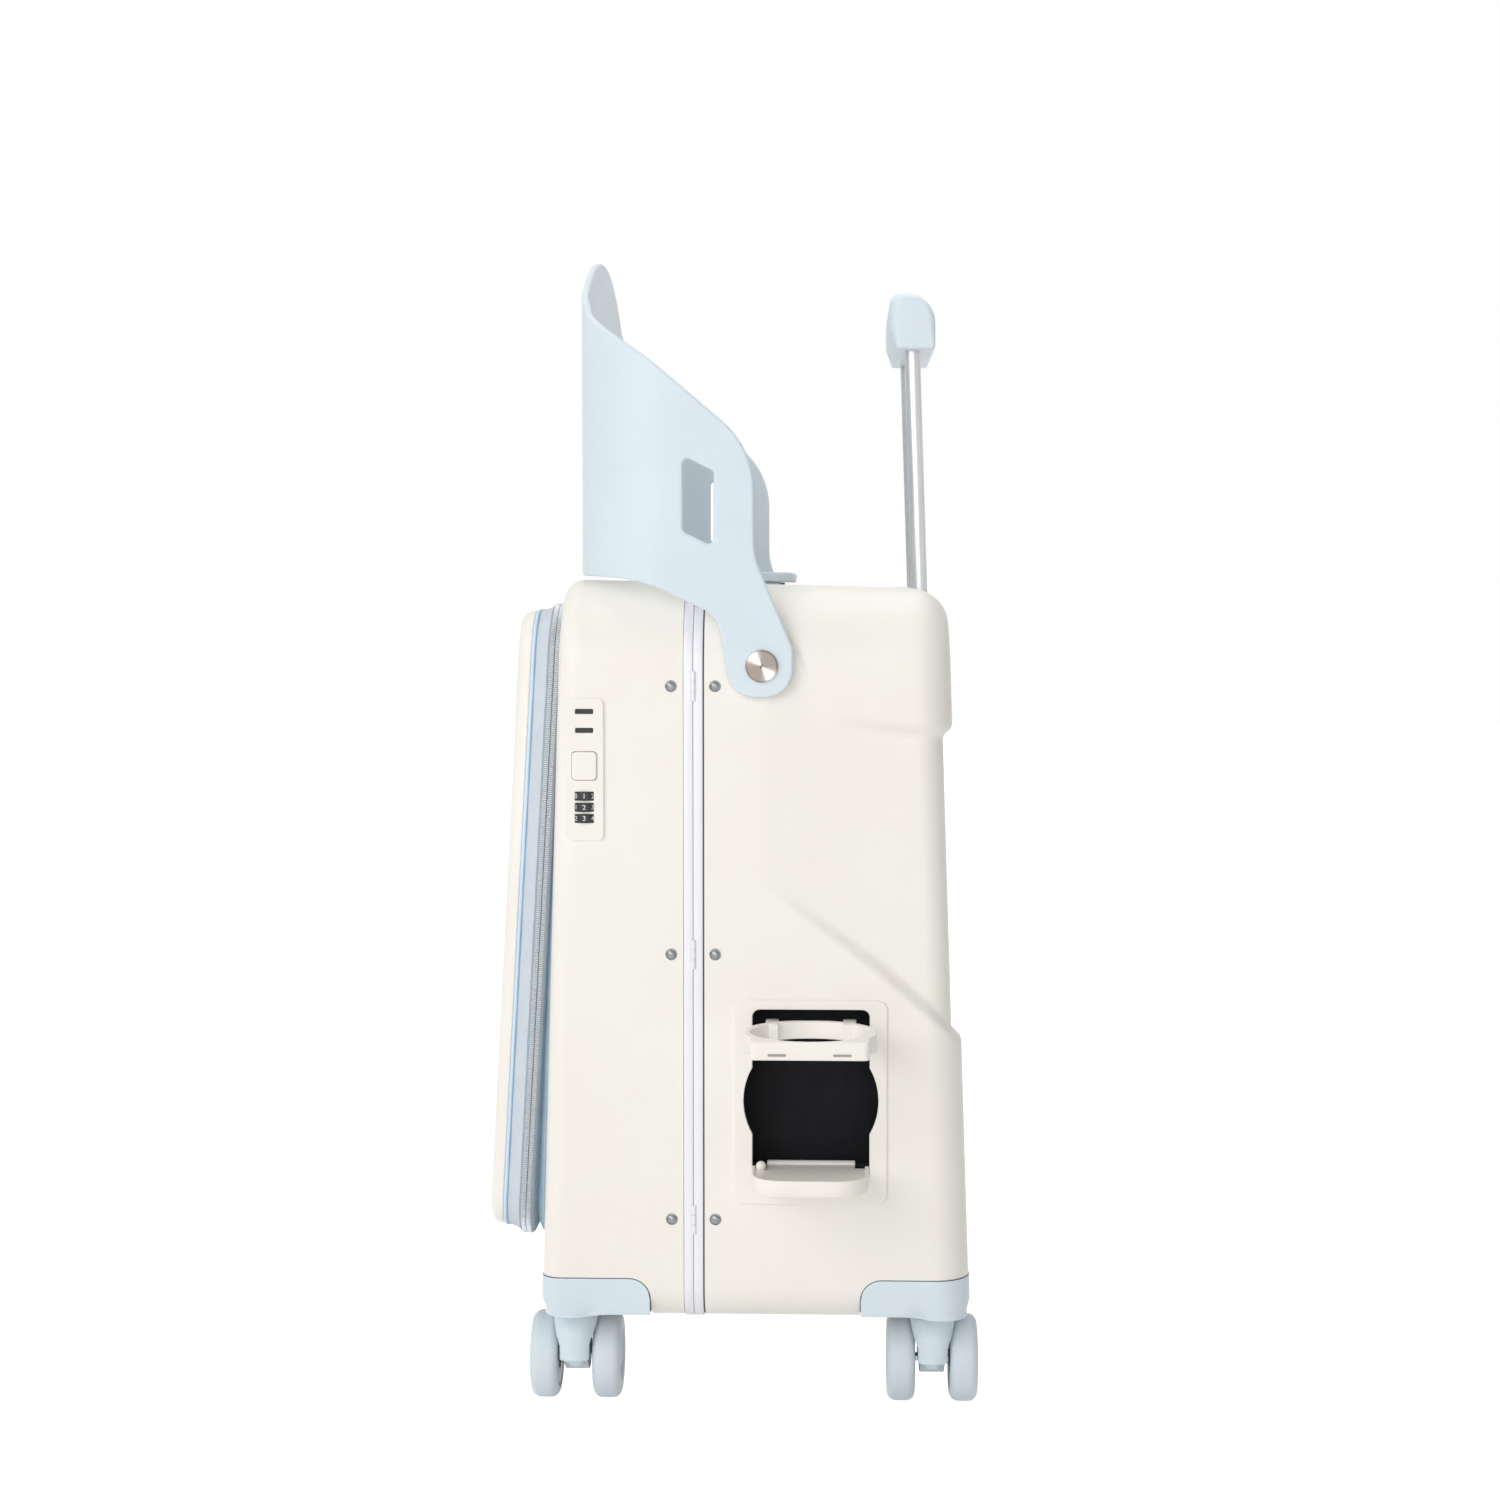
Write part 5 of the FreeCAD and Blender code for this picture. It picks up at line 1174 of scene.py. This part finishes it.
# A point of the corner's wall at height z, lifted off it, with foot radii for the side and the end
def cornerWall(plan, z, lift, sideFoot, endFoot, rear):
    foot = sideFoot * plan[:, 3] ** 2 + endFoot * plan[:, 2] ** 2
    below = np.clip(case["floor"] + foot - np.maximum(z, corner["under"]), 0, foot)
    inset = foot - np.sqrt(foot ** 2 - below ** 2) - lift
    edgeX, footX = (rearX, case["rearFoot"]) if rear else (frontX, case["frontFoot"])
    lean = (edgeX(z) - footX) * plan[:, 2] ** 2
    return np.stack((plan[:, 0] - inset * plan[:, 2] + lean, plan[:, 1] - inset * plan[:, 3]), -1)


# Corner guards: walls that stand a little proud of the case's corner and draw in, below their waist, to a
# round rim over the caster's stem
def cornerPiece(rear, side):
    plan, length = cornerPlan(rear)
    near = np.clip(corner["round"] - length, 0, None)
    top = corner["top"] - corner["round"] + np.sqrt(corner["round"] ** 2 - near ** 2)
    ends = np.concatenate(([0], np.arange(len(plan)), [len(plan) - 1]))
    plan, top = plan[ends], top[ends]
    tuck = np.zeros(len(plan))
    tuck[[0, -1]] = corner["tuck"]
    stem = np.array((caster["rearX"] if rear else caster["frontX"], caster["y"]))
    sign, footX = (1, case["rearFoot"]) if rear else (-1, case["frontFoot"])
    middle = np.array((footX - sign * corner["rimIn"], case["half"] - corner["rimIn"]))
    inward = np.maximum(sign * (middle[0] - plan[:, 0]), middle[1] - plan[:, 1])
    share = 1 - smooth((inward - corner["rimFrom"]) / corner["rimSoft"])
    away = plan[:, :2] - middle
    rim = middle + corner["rimR"] * away / np.linalg.norm(away, axis=1, keepdims=True)
    bottom = corner["under"] + share * (corner["rimZ"] - corner["under"])

    def ring(z, lift):
        wall = cornerWall(plan, z, lift - tuck, corner["sideFoot"], corner["endFoot"], rear)
        w = share * (np.clip(corner["waist"] - z, 0, None) / (corner["waist"] - corner["rimZ"])) ** 2
        return np.column_stack((wall + w[:, None] * (rim - wall), z))

    levels = [ring(top, -2.2), ring(top, -0.1), ring(top - 0.1, corner["proud"] - 0.15)]
    levels += [ring(top - 0.5 + f * (bottom - top + 0.5), corner["proud"]) for f in np.linspace(0, 1, 34)]
    last = levels[-1]
    for k, rise in ((0.985, 0.0), (0.9, 0.6), (0.3, 2.0)):
        levels.append(np.column_stack((stem + (last[:, :2] - stem) * k, last[:, 2] + rise)))
    inner = plan[0, 0], plan[-1, 1]
    floor = [(inner[0], case["half"] - 8), inner, (plan[-1, 0] * 0.97, inner[1]), tuple(stem)]
    floor = np.column_stack((floor, np.full(4, corner["under"] + 0.1)))
    shapes = [sheet(levels, False), (floor, [(0, 1, 2, 3)])]
    boss = [(11.0, 11.0), (22.0, 11.0), (19.2, 10.2), (17.4, 8.2), (16.5, 5.0), (16.2, 1.2), (15.9, 0.3),
            (15.2, 0.0), (5.1, 0.0), (5.1, 21.0), (11.0, 21.0), (11.0, 10.0)]
    shapes.append(lathe(boss, (stem[0], stem[1], corner["bossZ"]), (0, 0, 1), 64))
    points, faces = gather(shapes)
    return points * (1, side, 1), faces


# The thin gap round a corner guard's upper edge, drawn as a grey strip: painted shade in the gap
def cornerSeam(rear, side):
    plan, length = cornerPlan(rear)
    r, sign = corner["round"], 1 if rear else -1
    path = [(0.0, z, -1.0, 0.0) for z in np.linspace(corner["under"] + 1, corner["top"] - r, 8)]
    path += [(r + r * math.cos(t), corner["top"] - r + r * math.sin(t), math.cos(t), math.sin(t))
             for t in np.radians(np.linspace(180, 90, 10))[1:]]
    path += [(at, corner["top"], 0.0, 1.0) for at in length[length > r + 0.5]]
    path = np.array(path)
    levels = []
    for out in (-0.4, corner["seam"]):
        at, z = path[:, 0] + out * path[:, 2], path[:, 1] + out * path[:, 3]
        spots = np.stack([np.interp(at, length, plan[:, i]) for i in range(4)], -1)
        spots[:, 0] += sign * np.minimum(at, 0)
        flat = cornerWall(spots, z, 0.12, case["sideFoot"], case["footRound"], rear)
        levels.append(np.column_stack((flat[:, 0], side * flat[:, 1], z)))
    return sheet(levels, False)


# Caster fork: a boxy cup whose front swings out to a skirt before the wheels, with a rounded nose on it that
# narrows downwards, a slab that trails to the axle, and a hub under the cup; the flanks are flattened where
# the wheels turn
fork = {"top": 15.4, "foot": 14.0, "high": 60.0, "low": 30.0, "boxy": 2.7, "narrow": 0.97, "skirt": 0.34,
        "nose": 14.6, "noseFoot": 9.8, "noseOut": 1.6, "play": 1.8, "wheelPlay": 1.2, "slabHalf": 8.6}


def forkPiece(spotX, spotY):
    axleY, high, low = spotY + caster["trail"], fork["high"], fork["low"]
    t = np.radians(np.arange(0, 360, 3))
    power = fork["boxy"]
    boxy = (abs(np.cos(t)) ** power + abs(np.sin(t)) ** power) ** (-1 / power)
    stations = [(high, 0.35), (high, 0.96), (high - 0.6, 0.99), (high - 1.6, 1.0)]
    stations += [(z, 1.0) for z in np.linspace(high - 4.0, low + 3.5, 14)]
    stations += [(low + 2.4, 1.02), (low + 1.2, 1.04), (low + 0.4, 1.02), (low, 0.96), (low, 0.3)]
    limit, slabHalf = caster["gap"] / 2 - fork["play"], fork["slabHalf"]
    levels = []
    for z, scale in stations:
        down = (high - z) / (high - low)
        radius = (fork["top"] + (fork["foot"] - fork["top"]) * down) * scale
        x, y = radius * boxy * np.cos(t), radius * boxy * np.sin(t) * fork["narrow"]
        nose = fork["nose"] + (fork["noseFoot"] - fork["nose"]) * down
        bulge = np.clip(1 - (x / nose) ** 2, 0, None) * smooth(down / 0.2) * scale
        front = y * (1 + fork["skirt"] * smooth(down / 0.5)) - fork["noseOut"] * bulge
        y = np.where(y < -1e-6, front, y)
        away = np.hypot(y - caster["trail"], z - caster["axleZ"])
        x = np.where(away < caster["wheelR"] + fork["wheelPlay"], np.clip(x, -limit, limit), x)
        levels.append(place("z", spotX + x, spotY + y, z))
    slab = rounded([(spotY - 8.6, 58.0), (spotY - 6.5, 26.0), (axleY - 2.0, 16.5), (axleY + 9.6, 16.5),
                    (axleY + 9.6, 35.5), (spotY + 12.6, 58.0)], [0.5, 3.0, 5.0, 8.0, 8.0, 0.5])
    hub = [(0.02, 23.4), (7.4, 23.4), (8.4, 24.2), (9.6, 28.0), (9.8, 31.0), (0.02, 31.0)]
    stem = [(5.0, 59.0), (5.0, 80.3), (8.0, 80.3), (8.0, 83.3), (0.02, 83.3)]
    shapes = [capped(levels), flatPlate("x", slab, [], spotX - slabHalf, spotX + slabHalf, 0.8),
              lathe(hub, (spotX, spotY, 0.0), (0, 0, 1), 40), lathe(stem, (spotX, spotY, 0.0), (0, 0, 1), 32)]
    return gather(shapes)


# Wheel: a tyre with round shoulders, an outer dish with a cap, and a dark ribbed face inwards
def wheelPiece(name, centre, sign, body):
    r, w, soft = caster["wheelR"], caster["width"], caster["shoulder"]
    tyre = [(10.5, 0.6), (23.5, 0.6), (24.0, 0.0)] + quarter((r - soft, soft), soft, -90, 0, 10)
    tyre += quarter((r - soft, w - soft), soft, 0, 90, 10)
    tyre += [(20.2, w), (18.4, w - 0.25), (17.4, w - 1.0), (16.9, w - 2.3), (15.8, w - 2.9), (9.4, w - 2.9),
             (8.7, w - 2.6), (8.3, w - 1.7), (7.4, w - 1.1), (5.0, w - 0.8), (0.02, w - 0.7)]
    start = np.array(centre) + (sign * caster["gap"] / 2, 0, 0)
    build(name, *lathe(tyre, start, (sign, 0, 0), 72), "wheel", body, "wheel", (body,), sharp=42)
    hub = [(3.06, 2.2), (3.06, -0.2), (5.4, -0.2), (5.8, 0.4), (6.2, 1.6), (20.0, 1.6), (20.6, 0.4),
           (22.8, 0.3), (23.2, 0.9)]
    shapes = [lathe(hub, start, (sign, 0, 0), 48)]
    for k in range(10):
        a = math.radians(36 * k)
        rib = rounded(box2(6.0, 20.4, -0.6, 0.6), 0.2)
        points, faces = plate(rib, [], 0.5, 1.8, 0.2, 2)
        turned = np.stack((points[:, 2] * sign, points[:, 0] * math.cos(a) - points[:, 1] * math.sin(a),
                           points[:, 0] * math.sin(a) + points[:, 1] * math.cos(a)), -1)
        shapes.append((turned + start, faces))
    build(name + "Hub", *gather(shapes), "dark", body, "dark_plastic")


for rear, end in ((False, "front"), (True, "rear")):
    for side, hand in ((-1, "near"), (1, "far")):
        spotX = caster["rearX"] if rear else caster["frontX"]
        spotY = side * caster["y"]
        label = end + hand.capitalize()
        body = "rear_case" if rear else "front_case"
        points, faces = cornerPiece(rear, side)
        build(label + "CornerGuard", points, faces, "blue", body, "blue_plastic",
              ("%s_%s_corner_guard" % (end, hand),), sharp=45, close=False)
        # Grey strip along the guard's upper edge: painted shade of the gap
        build(label + "CornerPaintedSeamShade", *cornerSeam(rear, side), "seal", body, "blue_plastic", close=False)
        build(label + "Fork", *forkPiece(spotX, spotY), "blue", "%s_%s_caster" % (end, hand), "blue_plastic",
              ("%s_%s_fork" % (end, hand),), sharp=32)
        axle = (spotX, spotY + caster["trail"], caster["axleZ"])
        for sign, letter in ((-1, "a"), (1, "b")):
            wheelPiece(label + "Wheel" + letter.upper(), axle, sign, "%s_%s_wheel_%s" % (end, hand, letter))
print("casters")

# Carried-over nodes take their finish here
finishes = {"handle_sleeves": "steel", "handle_foot": "dark", "handle_tube_glides": "dark",
            "cup_holder_pan": "pan", "guard_pivot_bushes": "dark", "case_hinge_leaves_rear": "frameBar",
            "case_hinge_leaves_front": "frameBar", "case_hinge_pins": "frameBar"}
for name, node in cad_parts.items():
    if node.hide_render:
        continue
    finish = finishes.get(name, "steel" if "axle" in name else "shell")
    node.data.materials.clear()
    node.data.materials.append(materials[finish])

# Stage: pale floor, soft lamps, white surroundings
scene = bpy.context.scene
scene.view_settings.view_transform = "Standard"


# 1 for rays that show the surroundings: the camera's own, and those mirrored or let through by a piece
def shownRays(tree):
    path = add(tree, "ShaderNodeLightPath").outputs
    both = calc(tree, "MAXIMUM", path["Is Camera Ray"], path["Is Glossy Ray"])
    return calc(tree, "MAXIMUM", both, path["Is Transmission Ray"])


def stagePiece():
    floor, tree, shader = principled("paleFloor", Roughness=0.9)
    where = add(tree, "ShaderNodeTexCoord").outputs["Object"]
    tone = ramp(tree, noise(tree, where, 2.0, 2.0), ((0.3, "#f7f7f7"), (0.7, "#f4f4f4")))
    lift = calc(tree, "MULTIPLY", shownRays(tree), 0.8)
    glow = add(tree, "ShaderNodeEmission", {"Color": (1, 1, 1, 1), "Strength": lift})
    both = add(tree, "ShaderNodeAddShader", {0: shader.outputs["BSDF"], 1: glow.outputs["Emission"]})
    tree.links.new(tone, shader.inputs["Base Color"])
    tree.links.new(both.outputs["Shader"], tree.nodes["Material Output"].inputs["Surface"])
    mesh = bpy.data.meshes.new("floor")
    mesh.from_pydata([(-9, -9, 0), (9, -9, 0), (9, 9, 0), (-9, 9, 0)], [], [(0, 1, 2, 3)])
    mesh.materials.append(floor)
    piece = bpy.data.objects.new("floor", mesh)
    scene.collection.objects.link(piece)


def lamp(name, spot, aim, size, power):
    light = bpy.data.lights.new(name, "AREA")
    light.shape = "RECTANGLE"
    light.size, light.size_y = size
    light.energy = power
    made = bpy.data.objects.new(name, light)
    made.location = spot
    made.rotation_euler = (Vector(aim) - Vector(spot)).to_track_quat("-Z", "Y").to_euler()
    scene.collection.objects.link(made)


stagePiece()
lamp("keySoftbox", (-1.5, -2.7, 1.5), (0.0, 0.0, 0.4), (2.0, 2.0), 31.0)
lamp("fillSoftbox", (0.2, -3.2, 0.6), (0.0, 0.0, 0.4), (1.8, 1.8), 17.5)
lamp("topSoftbox", (-0.3, 0.2, 2.9), (0.0, 0.0, 0.4), (2.2, 2.2), 14.0)
lamp("seatSoftbox", (0.35, 0.08, 1.35), (-0.08, 0.05, 0.7), (0.5, 0.5), 1.5)
world = bpy.data.worlds.new("studio")
scene.world = world
world.use_nodes = True
tree = world.node_tree
# The room is brighter on the front's side than behind the rear
sky = add(tree, "ShaderNodeSeparateXYZ", {"Vector": add(tree, "ShaderNodeTexCoord").outputs["Generated"]})
room = add(tree, "ShaderNodeMapRange", {"Value": sky.outputs["X"], "From Min": -1.0, "To Min": 0.70,
                                        "To Max": 0.20})
strength = add(tree, "ShaderNodeMix", {0: shownRays(tree), 2: room.outputs["Result"], 3: 1.0})
back = tree.nodes["Background"]
back.inputs["Color"].default_value = (1, 1, 1, 1)
tree.links.new(strength.outputs[0], back.inputs["Strength"])

view = {"yaw": math.radians(1.946), "pitch": math.radians(3.59), "sensor": 36.0, "focal": 2614 / 1500,
        "eye": (97.7, -1933.5, 566.0)}
camera = bpy.data.cameras.new("camera")
camera.lens = view["sensor"] * view["focal"]
camera.sensor_width = view["sensor"]
eye = bpy.data.objects.new("camera", camera)
eye.location = row(view["eye"])
level = math.cos(view["pitch"])
ahead = Vector((-math.sin(view["yaw"]) * level, math.cos(view["yaw"]) * level, -math.sin(view["pitch"])))
eye.rotation_euler = ahead.to_track_quat("-Z", "Y").to_euler()
scene.collection.objects.link(eye)
scene.camera = eye
